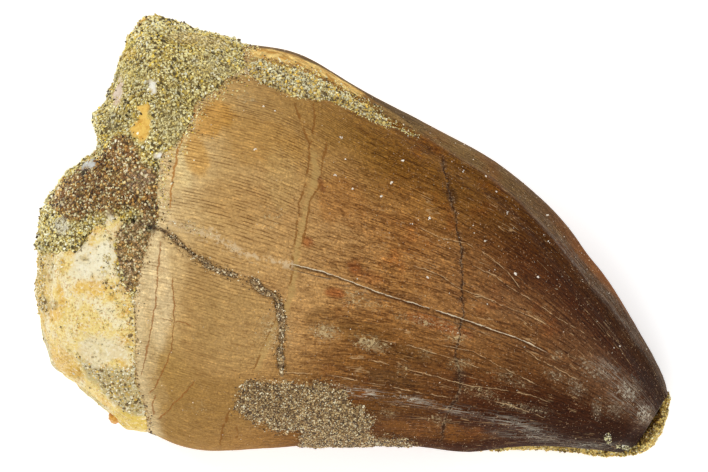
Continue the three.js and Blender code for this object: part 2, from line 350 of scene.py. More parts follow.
# The sand-filled crack, as in the CAD model, and the bare crack that leads to it.
SAND_CRACK_HEAD = [(-20.3, 0.75), (-19.3, 0.7), (-17.8, -0.4), (-15.9, -2.0), (-14.2, -3.1)]
SAND_CRACK = [(-18.6, 0.4), (-17.4, -0.9), (-15.9, -2.0), (-14.2, -3.1), (-11.8, -4.1), (-10.1, -4.5),
              (-9.1, -5.6), (-7.7, -6.0), (-7.4, -7.4), (-7.1, -9.3), (-7.4, -11.4), (-7.2, -13.8)]
# The fine pale hairlines that run towards the tip. Neighbours are in two lists.
HAIRLINES_EVEN = [
    [(6.4, 1.0), (8.4, -0.1), (11.2, -0.7), (13.5, -2.0), (15.4, -3.6), (16.8, -5.5)],
    [(11.9, -5.9), (13.3, -6.2), (15.1, -7.0), (17.1, -7.8), (19.3, -8.8)],
    [(8.7, -10.9), (11.9, -11.5), (14.5, -13.0), (16.4, -13.9), (19.0, -15.2)],
    [(-0.8, -12.1), (1.8, -12.4), (3.7, -12.9), (7.6, -13.9), (11.2, -14.9), (15.1, -15.4), (18.0, -16.0),
     (19.8, -16.7)],
    [(-7.3, -13.6), (-2.3, -13.9), (2.7, -14.9), (6.7, -15.7), (9.7, -16.2)],
    [(2.3, -1.0), (4.1, -1.7)],
]
HAIRLINES_ODD = [
    [(5.9, -2.9), (8.7, -3.9), (10.6, -5.3), (13.2, -6.1)],
    [(11.9, -2.9), (14.3, -4.1), (15.5, -5.1), (17.9, -6.5), (20.5, -8.3), (24.4, -10.5)],
    [(2.7, -10.4), (5.4, -10.9), (9.7, -12.2), (12.9, -13.3)],
    [(17.2, -11.4), (18.4, -12.3), (20.0, -13.1), (22.5, -14.4)],
    [(13.1, -16.3), (14.9, -16.7), (16.9, -17.4), (19.1, -18.2)],
]
# The thin brown lines that follow the base margin.
MARGIN_LINE_UPPER = [(-15.8, 13.1), (-16.1, 11.6), (-16.8, 10.6), (-17.3, 9.6), (-17.6, 8.6),
                     (-17.8, 7.6), (-18.0, 6.4), (-18.2, 5.1), (-18.5, 2.6)]
MARGIN_LINE_LEFT = [(-19.3, -0.4), (-19.4, -1.9), (-19.6, -3.4), (-19.8, -6.4), (-20.1, -7.9),
                    (-20.3, -9.4), (-20.6, -10.9), (-21.1, -13.2), (-21.3, -14.2)]
MARGIN_LINE_RIGHT = [(-18.2, -3.9), (-18.0, -6.9), (-18.0, -8.4), (-18.1, -9.9), (-18.3, -11.4),
                     (-18.6, -12.4), (-19.0, -13.4), (-19.5, -14.4), (-20.1, -15.4), (-20.6, -16.0)]
MARGIN_LINE_FOOT = [(-15.8, -14.4), (-16.8, -15.6), (-17.8, -16.6), (-18.8, -17.6), (-19.6, -18.3)]
MARGIN_LINE_SIDE = [(-19.8, -15.9), (-20.2, -16.9), (-20.0, -17.9)]
MARGIN_BRANCH = [(-19.3, -8.2), (-18.3, -8.6), (-17.3, -8.5), (-16.3, -9.0)]
# Cracks on the back face, which the front's carry on into.
BACK_CRACKS = [
    [(-4.2, 15.0), (-3.0, 9.0), (-5.0, 3.0), (-3.6, -4.0), (-6.0, -10.0), (-9.0, -15.0), (-12.4, -21.6)],
    [(8.7, 9.6), (11.2, 4.0), (9.6, -2.0), (11.0, -8.0), (9.2, -14.0), (8.6, -21.0)],
    [(21.0, 0.0), (19.0, -6.0), (20.4, -12.0), (17.0, -20.0)],
]
BACK_HAIRLINES = [
    [(-18.0, 6.0), (-8.0, 4.6), (2.0, 2.0), (12.0, -3.0), (20.0, -8.6)],
    [(-14.0, -8.0), (-4.0, -9.0), (8.0, -11.0), (18.0, -14.0), (26.0, -17.0)],
    [(2.0, -16.4), (12.0, -17.2), (22.0, -18.6)],
]
# The ridges that run down near the upper and the lower edge of the front face.
UPPER_CARINA = [(4.0, 11.4), (6.7, 9.9), (9.7, 8.0), (12.7, 6.2), (14.7, 4.6), (16.7, 3.1), (19.7, -0.3),
                (22.2, -3.4), (23.7, -5.4), (25.2, -6.9), (26.7, -8.9), (28.2, -10.9), (29.7, -12.9),
                (30.8, -15.0)]
LOWER_CARINA = [(-2.0, -15.2), (2.7, -15.9), (7.1, -16.5), (9.7, -17.2), (14.3, -18.2), (18.5, -19.4),
                (22.7, -20.3), (26.0, -20.9)]

# The paths of each line field that the enamel's material draws, by its name.
FRONT_LINES = {
    "vein": [VEIN],
    "crack_left": [VEIN_LEFT, VEIN_FOOT],
    "crack_right": [VEIN_FORK, VEIN_RIGHT, VEIN_FOOT_RIGHT],
    "crack_dark": [DARK_CRACK, SAND_CRACK_HEAD],
    "crack_long": [LONG_CRACK],
    "smear": [PALE_SMEAR, PALE_SMEAR_LONG],
    "hair_even": HAIRLINES_EVEN,
    "hair_odd": HAIRLINES_ODD,
    "margin_upper": [MARGIN_LINE_UPPER],
    "margin_left": [MARGIN_LINE_LEFT, MARGIN_LINE_SIDE],
    "margin_right": [MARGIN_LINE_RIGHT, MARGIN_LINE_FOOT, MARGIN_BRANCH],
}
BACK_LINES = {"back_cracks": BACK_CRACKS, "back_hair": BACK_HAIRLINES}
# How wide and how deep the lines that cut the surface are.
GROOVES = [
    ("crack_left", 0.2, 0.06), ("crack_right", 0.2, 0.05), ("crack_dark", 0.2, 0.12),
    ("crack_long", 0.2, 0.1), ("back_cracks", 0.3, 0.2), ("margin_left", 0.2, 0.05),
    ("margin_right", 0.2, 0.05),
]
SAND_CRACK_GROOVE = (0.45, 0.35)

LINE_REACH = 0.7      # how far from a line its distance is kept
END_FADE = 0.04       # share of a line over which its ends fade


def line_field(points, paths, where):
    """For each vertex: signed distance to the nearest path, how much that path
    counts there, and the place along it."""
    distance = np.full(len(points), LINE_REACH)
    along = np.zeros(len(points))
    for path in paths:
        signed, place = path_distance(points, path)
        closer = np.abs(signed) < np.abs(distance)
        distance = np.where(closer, signed, distance)
        along = np.where(closer, place, along)
    ends = smooth(0.0, END_FADE, along) * smooth(1.0, 1.0 - END_FADE, along)
    near = smooth(LINE_REACH, 0.6 * LINE_REACH, np.abs(distance))
    return np.stack([distance, near * ends * where, along], -1)


def groove(field, width, depth):
    """How deep a line cuts the surface."""
    return depth * field[:, 1] * np.exp(-(field[:, 0] / width) ** 2)


# ---- The crown --------------------------------------------------------------

# The enamel's colours down the middle of the front face, from base to tip.
ENAMEL_RAMP = [
    (0.05, (214, 184, 130)), (0.12, (195, 158, 101)), (0.30, (184, 141, 87)),
    (0.40, (166, 118, 64)), (0.50, (150, 105, 58)), (0.62, (122, 81, 42)),
    (0.74, (104, 69, 42)), (0.86, (90, 59, 38)), (1.0, (76, 48, 30)),
]
# The enamel beyond the upper ridge.
BEYOND_RAMP = [(0.34, (152, 122, 72)), (0.48, (126, 100, 60)), (0.62, (102, 72, 40)),
               (0.74, (84, 54, 28))]
# The bare dentine above the split, from its darker to its paler places.
DENTINE_RAMP = [(-0.4, (198, 146, 66)), (0.3, (252, 220, 138))]
# What the ramp is multiplied by towards the upper and the lower edge, over the
# whole crown, from its middle on and in the half towards the tip.
UPPER_TONE = np.array([0.62, 0.56, 0.26])
UPPER_TIP_TONE = np.array([0.50, 0.36, 0.30])
LOWER_TONE = np.array([0.72, 0.67, 0.50])
LOWER_MIDDLE_TONE = np.array([0.62, 0.55, 0.42])
LOWER_TIP_TONE = np.array([0.66, 0.50, 0.45])

CREAM = linear(230, 208, 160)
REDDISH = (150, 82, 36)

# The split along the upper edge: its sand in plan, that sand's lower edge, the
# band of bare dentine above it and the edge above which the back's enamel shows.
SPLIT_SAND = [(-10.9, 17.6), (-9.4, 17.9), (-6.8, 17.3), (-4.8, 16.8), (-2.8, 15.8), (-0.8, 14.5),
              (1.0, 13.6), (2.3, 12.8), (3.4, 11.9), (4.8, 11.0), (6.5, 9.8), (4.2, 10.8), (2.7, 11.1),
              (1.2, 11.9), (-0.8, 12.8), (-2.3, 13.5), (-5.3, 13.8), (-6.3, 14.1), (-8.1, 14.8),
              (-9.5, 15.4), (-10.6, 16.4)]
SPLIT_LOWER_EDGE = [(-10.6, 16.4), (-8.1, 14.8), (-2.3, 13.5), (2.7, 11.1), (6.5, 9.8)]
DENTINE_BAND = [(-10.3, 18.8), (-8.3, 18.7), (-6.3, 18.2), (-4.1, 17.3), (-2.3, 16.4), (-0.3, 15.2),
                (1.2, 14.3), (0.7, 13.9), (-0.8, 14.6), (-2.8, 15.8), (-4.8, 16.8), (-6.8, 17.4),
                (-9.1, 17.8), (-10.4, 17.9)]
BACK_RIM = [(-11.5, 19.1), (-8.3, 18.7), (-6.3, 18.15), (-4.1, 17.2), (-2.3, 16.3), (-0.3, 15.1),
            (1.3, 14.0), (3.0, 12.8), (4.5, 11.9), (7.0, 10.0)]
BARE_CORNER = [(-12.5, 17.8), (-11.4, 17.4), (-9.9, 17.6), (-10.6, 16.4), (-12.1, 16.0)]
CRUST = [(-11.0, -14.4), (-9.1, -14.2), (-5.3, -14.5), (-2.3, -14.6), (-0.8, -15.1), (-0.3, -15.7),
         (-1.0, -16.4), (0.6, -16.9), (1.7, -17.6), (2.3, -18.5), (1.6, -19.5), (2.4, -20.1), (6.0, -20.3),
         (6.4, -22.5), (-5.6, -22.5), (-5.5, -19.5), (-7.5, -19.6), (-9.5, -19.0), (-11.0, -18.4),
         (-12.2, -17.2), (-12.0, -15.9)]

# Stains on the enamel, and one near-black spot of painted shade by the hole: centre x, y, radii, turn,
# colour, strength.
CROWN_STAINS = [
    (-17.9, 11.0, 1.0, 1.6, 25, (222, 180, 104), 0.6),
    (-17.2, 7.6, 0.9, 3.0, 10, (232, 208, 150), 0.7),
    (-13.9, 11.8, 1.8, 2.6, -25, (206, 150, 64), 0.65),
    (-15.8, 8.2, 1.3, 2.4, 10, (208, 154, 68), 0.6),
    # Painted shade: this near-black spot is the darkness inside the hole in the stone by the margin.
    (-20.0, 0.8, 0.4, 0.35, 0, (24, 16, 10), 0.9),
    (-19.2, -4.0, 0.8, 2.2, 0, (222, 174, 98), 0.4),
    (-19.0, 6.6, 0.8, 2.8, 10, (224, 198, 150), 0.6),
    (-19.3, -6.0, 1.2, 5.4, 0, (228, 206, 160), 0.6),
    (-20.4, -12.4, 1.0, 3.6, -14, (226, 202, 154), 0.35),
    (-15.4, -8.0, 2.0, 7.0, 0, (164, 126, 72), 0.4),
    (-18.0, 5.6, 1.6, 1.4, 0, (222, 192, 132), 0.5),
    (-19.7, -15.5, 1.0, 2.6, 15, (202, 172, 118), 0.35),
    (-13.5, -17.0, 5.0, 2.8, 5, (156, 118, 62), 0.6),
    (-2.5, -8.4, 2.4, 1.4, -10, (128, 90, 46), 0.6),
    (-12.0, -9.0, 4.5, 4.5, 0, (168, 134, 80), 0.45),
    (-9.5, 9.5, 4.6, 2.6, -20, (180, 134, 66), 0.45),
    (-11.5, 3.4, 4.6, 2.2, -12, (178, 136, 80), 0.4),
    (-7.2, 5.6, 1.8, 3.6, 5, (192, 158, 100), 0.45),
    (-1.6, 3.6, 3.0, 2.4, -20, (166, 108, 48), 0.45),
    (-1.9, -5.7, 1.2, 0.6, -10, REDDISH, 0.75),
    (0.0, -3.0, 0.8, 0.6, -20, REDDISH, 0.6),
    (-4.6, -0.6, 0.7, 0.5, -20, REDDISH, 0.7),
    (1.2, -4.0, 2.0, 0.6, -20, REDDISH, 0.4),
    (7.5, -8.6, 2.6, 0.7, -16, REDDISH, 0.55),
    (10.4, -9.6, 1.6, 0.5, -16, REDDISH, 0.5),
    (-3.3, 5.3, 0.3, 1.0, 10, (116, 60, 30), 0.6),
    (4.5, -5.9, 3.4, 0.35, -16, (84, 50, 26), 0.45),
    (9.8, 4.0, 0.6, 0.9, 10, (74, 48, 24), 0.7),
    (10.7, -14.2, 0.8, 0.8, 0, (60, 36, 20), 0.8),
    (10.6, -8.6, 0.7, 0.5, 0, (112, 86, 56), 0.5),
    (8.0, -19.4, 6.4, 0.9, -5, (128, 80, 28), 0.6),
    (1.0, -9.8, 3.6, 1.2, -14, (124, 86, 40), 0.6),
    (5.0, -11.6, 4.0, 0.8, -14, (98, 66, 30), 0.6),
    (3.4, -14.2, 3.4, 0.7, -12, (90, 60, 28), 0.6),
    (4.0, 0.5, 5.0, 2.0, -25, (152, 100, 48), 0.4),
    (13.6, -1.0, 3.4, 1.4, -35, (122, 78, 38), 0.4),
    (14.8, -6.8, 3.0, 1.3, -30, (136, 98, 62), 0.4),
]
# Dusty, scuffed places on the enamel: centre x, y, radii, turn, strength.
DUST = [
    (-3.0, -9.6, 1.3, 0.7, -10, 1.4), (1.6, -10.8, 1.6, 0.7, -20, 1.3), (0.0, -6.2, 1.2, 0.9, -10, 0.6),
    (1.6, -6.8, 1.2, 0.6, -10, 0.6), (7.6, -8.8, 3.6, 0.5, -14, 0.7), (10.6, -10.0, 1.0, 0.5, 0, 1.0),
    (10.6, -12.8, 1.1, 0.6, 0, 0.9), (7.2, -11.7, 0.7, 0.5, 0, 0.6), (5.0, -13.4, 0.8, 0.5, 0, 0.6),
    (3.4, -17.7, 0.9, 0.5, 0, 0.5), (8.2, -18.4, 1.6, 0.4, -6, 0.5), (-7.9, -9.6, 1.8, 1.8, 0, 0.8),
    (-10.8, 13.7, 0.9, 0.9, 0, 0.6), (20.1, -13.9, 1.2, 0.6, -30, 0.6), (20.3, -11.9, 0.7, 0.5, 0, 0.6),
    (22.3, -15.1, 1.0, 0.8, -40, 0.7), (23.9, -13.4, 1.6, 0.9, -30, 0.7), (24.3, -17.3, 0.5, 1.0, 0, 0.8),
    (26.1, -17.4, 0.8, 1.0, -30, 0.6), (27.4, -15.4, 1.1, 1.2, -40, 0.5), (29.1, -17.9, 0.8, 0.8, 0, 0.7),
    (17.0, -17.2, 3.0, 0.5, -10, 0.5), (-16.0, 0.9, 1.4, 0.5, -20, 1.0), (-15.4, -17.2, 1.6, 0.8, 0, 0.3),
    (12.6, -15.6, 2.0, 0.7, -14, 0.5), (15.4, -14.2, 2.6, 0.8, -20, 0.4), (-8.4, 1.8, 1.6, 1.6, 0, 0.35),
]
# Where painted highlights, pale streaks that stand in for reflections of the gloss, lie: centre x, y, radii,
# turn, strength.
PAINTED_GLEAMS = [
    (0.9, -15.7, 2.6, 0.4, -8, 1.2), (5.7, -16.4, 2.2, 0.4, -10, 1.2), (16.4, -18.8, 2.8, 0.5, -14, 1.0),
    (10.4, -17.4, 2.6, 0.4, -10, 0.6), (18.0, -20.0, 3.5, 0.5, -6, 0.7), (23.6, -20.9, 3.6, 0.4, -2, 0.8),
    (27.2, -15.6, 1.5, 1.4, -45, 0.8), (29.0, -17.6, 1.1, 1.0, -45, 1.0), (25.6, -13.6, 1.6, 0.8, -45, 0.6),
]
# Single white grains stuck to the enamel, and the two bigger flakes by the tip.
WHITE_GRAINS = [
    (-13.9, 13.9), (-13.1, 13.3), (-9.0, 12.9), (-8.0, 12.5), (-9.9, 8.7), (-1.3, 9.8), (-0.8, 7.7),
    (-1.9, 6.1), (-0.2, 4.7), (2.7, 3.9), (4.9, 7.5), (3.7, 5.3), (7.5, 1.7), (7.6, 1.9), (5.7, 1.2),
    (10.9, 6.5), (13.2, 5.9), (14.2, 4.4), (15.3, 2.3), (19.3, 2.1), (19.0, 0.1), (19.5, -0.6),
    (16.1, -3.8), (18.4, -4.0), (14.5, -8.5), (25.9, -11.1), (26.5, -11.1), (7.4, -4.2), (0.3, -4.3),
]
WHITE_GRAIN_REACH = 0.13
FLAKES = [(25.4, -20.2, 0.42, 0.6, 25), (26.9, -21.1, 0.8, 0.25, -12)]
# Where the crown stands out from its stations' outline, or falls short of it.
EDGE_SWELLS = [
    (-17.5, -20.3, 3.0, 1.2, 0, 0.3), (11.0, -21.2, 3.5, 1.0, 0, 0.4), (20.0, 2.0, 7.0, 1.5, -42, -0.2),
    (23.4, -1.6, 1.8, 1.5, -50, -0.15),
]
TIP_SHORTENED = 0.5     # how far the tip draws back for the sand behind it
STRIA_SLANT = 0.11      # how far the striae swing round, in radians, near the base
SLANT_REACH = 14.0      # the length over which they do


def toned(tint, factor, amount):
    """A colour array multiplied by a factor, by an amount per vertex."""
    return tint * (1.0 + (np.asarray(factor) - 1.0) * np.clip(amount, 0.0, 1.0)[:, None])


def crown_shape(points, front):
    """How far the real surface stands out from the smooth crown, and the line
    fields that its material uses."""
    fields = {name: line_field(points, paths, front) for name, paths in FRONT_LINES.items()}
    fields |= {name: line_field(points, paths, 1.0 - front) for name, paths in BACK_LINES.items()}
    height = ovals(points, EDGE_SWELLS).sum(axis=0)
    upper_side, upper_along = path_distance(points, UPPER_CARINA)
    lower_side, lower_along = path_distance(points, LOWER_CARINA)
    upper_there = smooth(0.0, 0.2, upper_along) * smooth(1.0, 0.88, upper_along) * front
    lower_there = smooth(0.0, 0.25, lower_along) * smooth(1.0, 0.85, lower_along) * front
    height += 0.16 * upper_there * np.exp(-(upper_side / 0.34) ** 2)
    height -= 0.08 * upper_there * np.exp(-((upper_side + 0.9) / 0.5) ** 2)
    height += 0.12 * lower_there * np.exp(-(lower_side / 0.5) ** 2)
    for name, width, depth in GROOVES:
        height -= groove(fields[name], width, depth)
    height -= groove(line_field(points, [SAND_CRACK], front), *SAND_CRACK_GROOVE)
    height -= 0.45 * front * smooth(-0.15, 0.5, inside_distance(points, SPLIT_SAND))
    fields["upper_side"] = upper_side
    return height, fields


def crown_tint(points, place, across, front, upper_side):
    """The enamel's broad colours: pale at the base, dark brown at the tip."""
    wander = 0.25 * rough(points, 0.9, 61)
    tint = blend_stops(place + 0.05 * np.abs(across) ** 3 + 0.02 * rough(points, 4.0, 45), ENAMEL_RAMP)
    across = across + 0.1 * rough(points, 5.0, 47)
    tint = toned(tint, UPPER_TONE, front * smooth(0.2, 0.8, across) * smooth(0.02, 0.38, place))
    upper_tip = smooth(0.05, 0.5, across) * (1.0 - 0.35 * smooth(0.5, 0.75, across))
    tint = toned(tint, UPPER_TIP_TONE, front * upper_tip * smooth(0.46, 0.58, place))
    tint = toned(tint, LOWER_TONE, front * smooth(-0.35, -0.7, across))
    tint = toned(tint, LOWER_MIDDLE_TONE, front * smooth(-0.05, -0.45, across) * smooth(0.28, 0.4, place))
    tint = toned(tint, LOWER_TIP_TONE, front * smooth(-0.2, -0.5, across) * smooth(0.46, 0.6, place))
    beyond = smooth(0.0, 0.4, upper_side) * front * smooth(0.28, 0.34, place)
    tint = mixed(tint, blend_stops(place, BEYOND_RAMP), 0.85 * beyond)
    edge = smooth(0.9, 1.6, upper_side) * beyond
    tint = mixed(tint, linear(146, 88, 34), 0.75 * edge * smooth(0.55, 0.68, place))
    margin = path_distance(points, BASE_MARGIN)[0]
    creamy = front * smooth(1.8, 0.2, margin + wander) * smooth(9.0, 1.0, points[:, 1])
    tint = mixed(tint, CREAM, 0.7 * creamy)
    tint = stained(tint, points, CROWN_STAINS, 51)
    band = inside_distance(points, DENTINE_BAND) + 0.5 * wander
    golden = blend_stops(rough(points, 0.6, 63), DENTINE_RAMP)
    tint = mixed(tint, golden, 0.95 * front * smooth(-0.08, 0.12, band))
    behind = path_distance(points, BACK_RIM)[0] + 0.4 * wander
    behind = smooth(-0.02, 0.12, behind) * smooth(0.42, 0.36, place)
    tint = mixed(tint, linear(96, 74, 44), 0.9 * front * behind)
    bare = inside_distance(points, BARE_CORNER) + wander
    return mixed(tint, linear(206, 184, 140), 0.9 * front * smooth(-0.3, 0.2, bare))


def dust_amount(points, front):
    """How dusty the enamel is: 0 where it is clean, about 1 at its dustiest."""
    return ovals(points, DUST).max(axis=0) * front


def painted_gleam_amount(points, place, front, upper_side):
    """How strongly painted highlights, pale streaks that stand in for reflections
    of the gloss, show on the enamel, along the upper ridge and at its gleams."""
    painted_ridge_sheen = 0.32 * smooth(-0.4, 0.4, upper_side) * smooth(1.8, 0.9, upper_side) * smooth(0.5, 0.66, place)
    return np.maximum(painted_ridge_sheen, ovals(points, PAINTED_GLEAMS).max(axis=0)) * front


def margin_starts(angles, before):
    """The place on the crown at each angle where the enamel begins, a little
    before its base margin."""
    trial = np.linspace(0.0, 0.3, 241)
    points = crown_points(*np.broadcast_arrays(trial[:, None], angles[None, :]))
    margin = np.interp(points[..., 1], BASE_MARGIN[::-1, 1], BASE_MARGIN[::-1, 0])
    return trial[np.argmax(points[..., 0] > margin - before, axis=0)]


def crown_grid():
    """Places, angles and turns of the crown's grid of vertices."""
    front = np.linspace(-SEAM_ANGLE, math.pi + SEAM_ANGLE, FRONT_COLUMNS, endpoint=False)
    back = np.linspace(math.pi + SEAM_ANGLE, 2 * math.pi - SEAM_ANGLE, BACK_COLUMNS, endpoint=False)
    angles = np.concatenate([front, back])
    start = margin_starts(angles, UNDER_MARGIN)
    rows = np.linspace(0.0, 1.0, CROWN_ROWS)[:, None] ** ROW_SPREAD
    turns = np.linspace(0.0, math.pi / 2 * CAP_SWEEP, CROWN_CAP_ROWS + 1)[1:, None]
    place = np.vstack([start + (1.0 - start) * rows, np.ones((CROWN_CAP_ROWS, len(angles)))])
    turn = np.vstack([np.zeros((CROWN_ROWS, len(angles))), turns * np.ones((1, len(angles)))])
    return place, np.broadcast_to(angles, place.shape), turn


def grid_bake_map(rows, columns):
    """Bake places of a closed grid's triangles and of the fans at its ends."""
    u = np.linspace(0.004, 0.996, columns + 1)
    v = np.linspace(0.008, 0.992, rows)

    def corner(right, up):
        """One corner of each cell of the grid."""
        places = np.broadcast_arrays(u[None, right:columns + right], v[up:rows - 1 + up, None])
        return np.stack(places, -1).reshape(-1, 2)

    a, b, c, d = corner(0, 0), corner(1, 0), corner(1, 1), corner(0, 1)
    middle = (u[:-1] + u[1:]) / 2
    base = [(u[1:], v[0]), (u[:-1], v[0]), (middle, 0.002)]
    tip = [(u[:-1], v[-1]), (u[1:], v[-1]), (middle, 0.998)]
    fans = [np.stack([np.stack([x, np.full(columns, y)], -1) for x, y in fan], 1) for fan in (base, tip)]
    return np.concatenate([np.stack([a, b, c], 1), np.stack([a, c, d], 1), *fans])


def outward_normals(corners):
    """Normals of four-sided faces given by their corners."""
    normals = np.cross(corners[:, 2] - corners[:, 0], corners[:, 3] - corners[:, 1])
    return normals / np.maximum(np.linalg.norm(normals, axis=1, keepdims=True), 1e-9)


def fine_relief(points, flow, place):
    """The enamel's low ridges along the crown and its faint unevenness."""
    taper = 0.3 + 0.7 * smooth(1.0, 0.6, place)
    ridges = 0.018 * rough(flow * (1.0, 1.0, 0.12), 2.6, 11)
    ridges += 0.016 * rough(flow * (1.0, 1.0, 0.14), 0.8, 21)
    return taper * ridges + 0.06 * rough(points, 4.0, 31) + 0.012 * rough(points, 0.5, 41, 2)


def crown_faces(rows, columns):
    """Triangles of the crown's grid and of the fans that close its base, inside
    the matrix, and its tip, round the last two vertices."""
    quads = grid_faces(rows, columns, closed=True)
    column = np.arange(columns)
    following = (column + 1) % columns
    last = (rows - 1) * columns
    base_fan = np.stack([following, column, np.full(columns, rows * columns)], -1)
    tip_fan = np.stack([last + column, last + following, np.full(columns, rows * columns + 1)], -1)
    return quads, np.vstack([quads[:, [0, 1, 2]], quads[:, [0, 2, 3]], base_fan, tip_fan])


def build_crown():
    """The enamel crown as one fine closed mesh. Gives the object and the corners
    and normals of its faces."""
    place, angle, turn = crown_grid()
    rows, columns = place.shape
    points = crown_points(place, angle, turn)
    normals = grid_normals(points, closed=True).reshape(-1, 3)
    run = np.cumsum(np.linalg.norm(np.diff(points, axis=0, prepend=points[:1]), axis=-1), axis=0)
    points = points.reshape(-1, 3)
    place = place.ravel()
    angle = angle.ravel()
    front = smooth(-0.05, 0.1, np.sin(angle))
    height, fields = crown_shape(points, front)
    run = run.ravel()
    slant = STRIA_SLANT * (0.3 + 0.9 * np.cos(angle)) * (1.0 - np.exp(-run / SLANT_REACH))
    flow = np.stack([FLOW_RADIUS * np.cos(angle - slant), FLOW_RADIUS * np.sin(angle - slant), run], -1)
    cap = np.sin(turn.ravel())
    height -= TIP_SHORTENED * cap
    height += fine_relief(points, flow, place)
    vertices = points + normals * height[:, None]
    quads, triangles = crown_faces(rows, columns)
    corners = vertices[quads]
    base_centre = vertices[:columns].mean(0) + BASE_CENTRE_SHIFT
    vertices = np.vstack([vertices, base_centre, vertices[-columns:].mean(0)])
    crown = make_mesh("tooth_crown_enamel", vertices, triangles)
    tint = crown_tint(points, place, np.cos(angle), front, fields["upper_side"])
    fields["tint"] = mixed(tint, linear(138, 84, 34), 0.7 * smooth(0.2, 0.7, cap))
    fields["dust"] = dust_amount(points, front)
    # Painted highlights: where pale streaks stand in for the gloss's reflections.
    fields["painted_gleam"] = painted_gleam_amount(points, place, front, fields["upper_side"])
    fields["flow"] = flow
    fields["place"] = place
    fields["steep"] = smooth(0.75, 0.35, normals[:, 2]) * front
    for name, values in fields.items():
        set_attribute(crown, name, np.concatenate([values, values[:1], values[-1:]]))
    set_bake_map(crown, grid_bake_map(rows, columns))
    return crown, corners, outward_normals(corners)


# ---- Sand on the crown ------------------------------------------------------

SAND_SPACING = 0.2      # millimetres between the points of a sand layer
SAND_DEPTH = 0.55       # how deep a layer's underside lies in the enamel


def crown_window(place_range, angle_range):
    """A fine grid of points on part of the crown, with its normals."""
    across = crown_points(np.full(2, np.mean(place_range)), np.array(angle_range))
    along = crown_points(np.array(place_range), np.full(2, np.mean(angle_range)))
    columns = int(1.2 * math.dist(*across) / SAND_SPACING)
    rows = int(1.1 * math.dist(*along) / SAND_SPACING)
    places = np.linspace(*place_range, rows)
    points = crown_points(*np.meshgrid(places, np.linspace(*angle_range, columns), indexing="ij"))
    return points, grid_normals(points)


def sand_layer(name, inside, window, top):
    """A closed layer of sand on the crown, where inside is above zero, and the
    corners and normals of its upper faces. Inside and top are functions of the
    points on the smooth crown."""
    points, normals = crown_window(*window)
    rows, columns = points.shape[:2]
    points = points.reshape(-1, 3)
    normals = normals.reshape(-1, 3)
    count = len(points)
    row, column = np.divmod(np.arange(count), columns)
    border = SAND_SPACING * np.minimum.reduce([row, rows - 1 - row, column, columns - 1 - column])
    depth_in = np.minimum(inside(points), border - 0.1)
    faces = grid_faces(rows, columns)
    faces = faces[(depth_in[faces] > 0.0).all(1)]
    over = points + normals * top(points, depth_in)[:, None]
    under = points - normals * SAND_DEPTH
    edges = np.concatenate([faces[:, [k, (k + 1) % 4]] for k in range(4)])
    key = np.sort(edges, 1) @ [count, 1]
    index, times = np.unique(key, return_index=True, return_counts=True)[1:]
    rim = edges[index[times == 1]]
    walls = np.stack([rim[:, 1], rim[:, 0], rim[:, 0] + count, rim[:, 1] + count], -1)
    used, renumbered = np.unique(np.vstack([faces, faces[:, ::-1] + count, walls]), return_inverse=True)
    vertices = np.vstack([over, under])[used]
    every = renumbered.reshape(-1, 4)
    layer = make_mesh(name, vertices, every)
    set_bake_map(layer, six_sided_map(vertices, every))
    return layer, over[faces], normals[faces].mean(1)


# ---- Grains -----------------------------------------------------------------

GOLDEN = (1 + math.sqrt(5)) / 2
ICOSAHEDRON = np.array([
    [-1, GOLDEN, 0], [1, GOLDEN, 0], [-1, -GOLDEN, 0], [1, -GOLDEN, 0],
    [0, -1, GOLDEN], [0, 1, GOLDEN], [0, -1, -GOLDEN], [0, 1, -GOLDEN],
    [GOLDEN, 0, -1], [GOLDEN, 0, 1], [-GOLDEN, 0, -1], [-GOLDEN, 0, 1],
]) / math.hypot(1, GOLDEN)
ICOSAHEDRON_FACES = np.array([
    [0, 11, 5], [0, 5, 1], [0, 1, 7], [0, 7, 10], [0, 10, 11], [1, 5, 9], [5, 11, 4],
    [11, 10, 2], [10, 7, 6], [7, 1, 8], [3, 9, 4], [3, 4, 2], [3, 2, 6], [3, 6, 8],
    [3, 8, 9], [4, 9, 5], [2, 4, 11], [6, 2, 10], [8, 6, 7], [9, 8, 1],
])
# Enlarged to about the icosahedron's volume.
OCTAHEDRON = 1.2 * np.array([[1, 0, 0], [-1, 0, 0], [0, 1, 0], [0, -1, 0], [0, 0, 1], [0, 0, -1]])
OCTAHEDRON_FACES = np.array([
    [0, 2, 4], [2, 1, 4], [1, 3, 4], [3, 0, 4], [2, 0, 5], [1, 2, 5], [3, 1, 5], [0, 3, 5],
])
GRAIN_LIFT = (-0.12, 0.2)     # how far a grain's centre lies over the surface, in grain sizes
LARGEST_GRAIN = 0.5           # diameters, in millimetres
LARGEST_SPECK = 0.3
TRIES_PER_CELL = 3.0          # scattered places for each cell, of which one is kept
CELL_KEY = [1, 4096, 4096 * 4096]     # makes one number of a cell's three

# How far apart grains are scattered and the most places that are kept. A grain
# has 20 triangles, or 8 where it is coarse, and a piece stays under 200,000.
STONE_FRONT_SCATTER = (0.23, 9900)
STONE_SIDE_SCATTER = (0.33, 15000)
BONE_SCATTER = (0.22, 40000)
PAD_SCATTER = (0.2, 8000)
SPECK_SCATTER = (0.16, 60000)
MOST_LAYER_GRAINS = 9800
FLOOR_CLEARANCE = 0.3         # no grain lies lower than this, in millimetres


def scatter(corners, normals, spacing, most):
    """Evenly scattered points on faces given by their corners, with normals."""
    area = np.linalg.norm(np.cross(corners[:, 1] - corners[:, 0], corners[:, 2] - corners[:, 0]), axis=1)
    count = int(TRIES_PER_CELL * area.sum() / spacing ** 2)
    chosen = RNG.choice(len(corners), count, p=area / area.sum())
    a, b = RNG.random((2, count, 1))
    quad = corners[chosen]
    spots = (quad[:, 0] * (1 - a) + quad[:, 1] * a) * (1 - b) + (quad[:, 3] * (1 - a) + quad[:, 2] * a) * b
    key = np.floor(spots / spacing).astype(np.int64) @ CELL_KEY
    kept = RNG.permutation(np.unique(key, return_index=True)[1])[:most]
    return spots[kept], normals[chosen][kept]


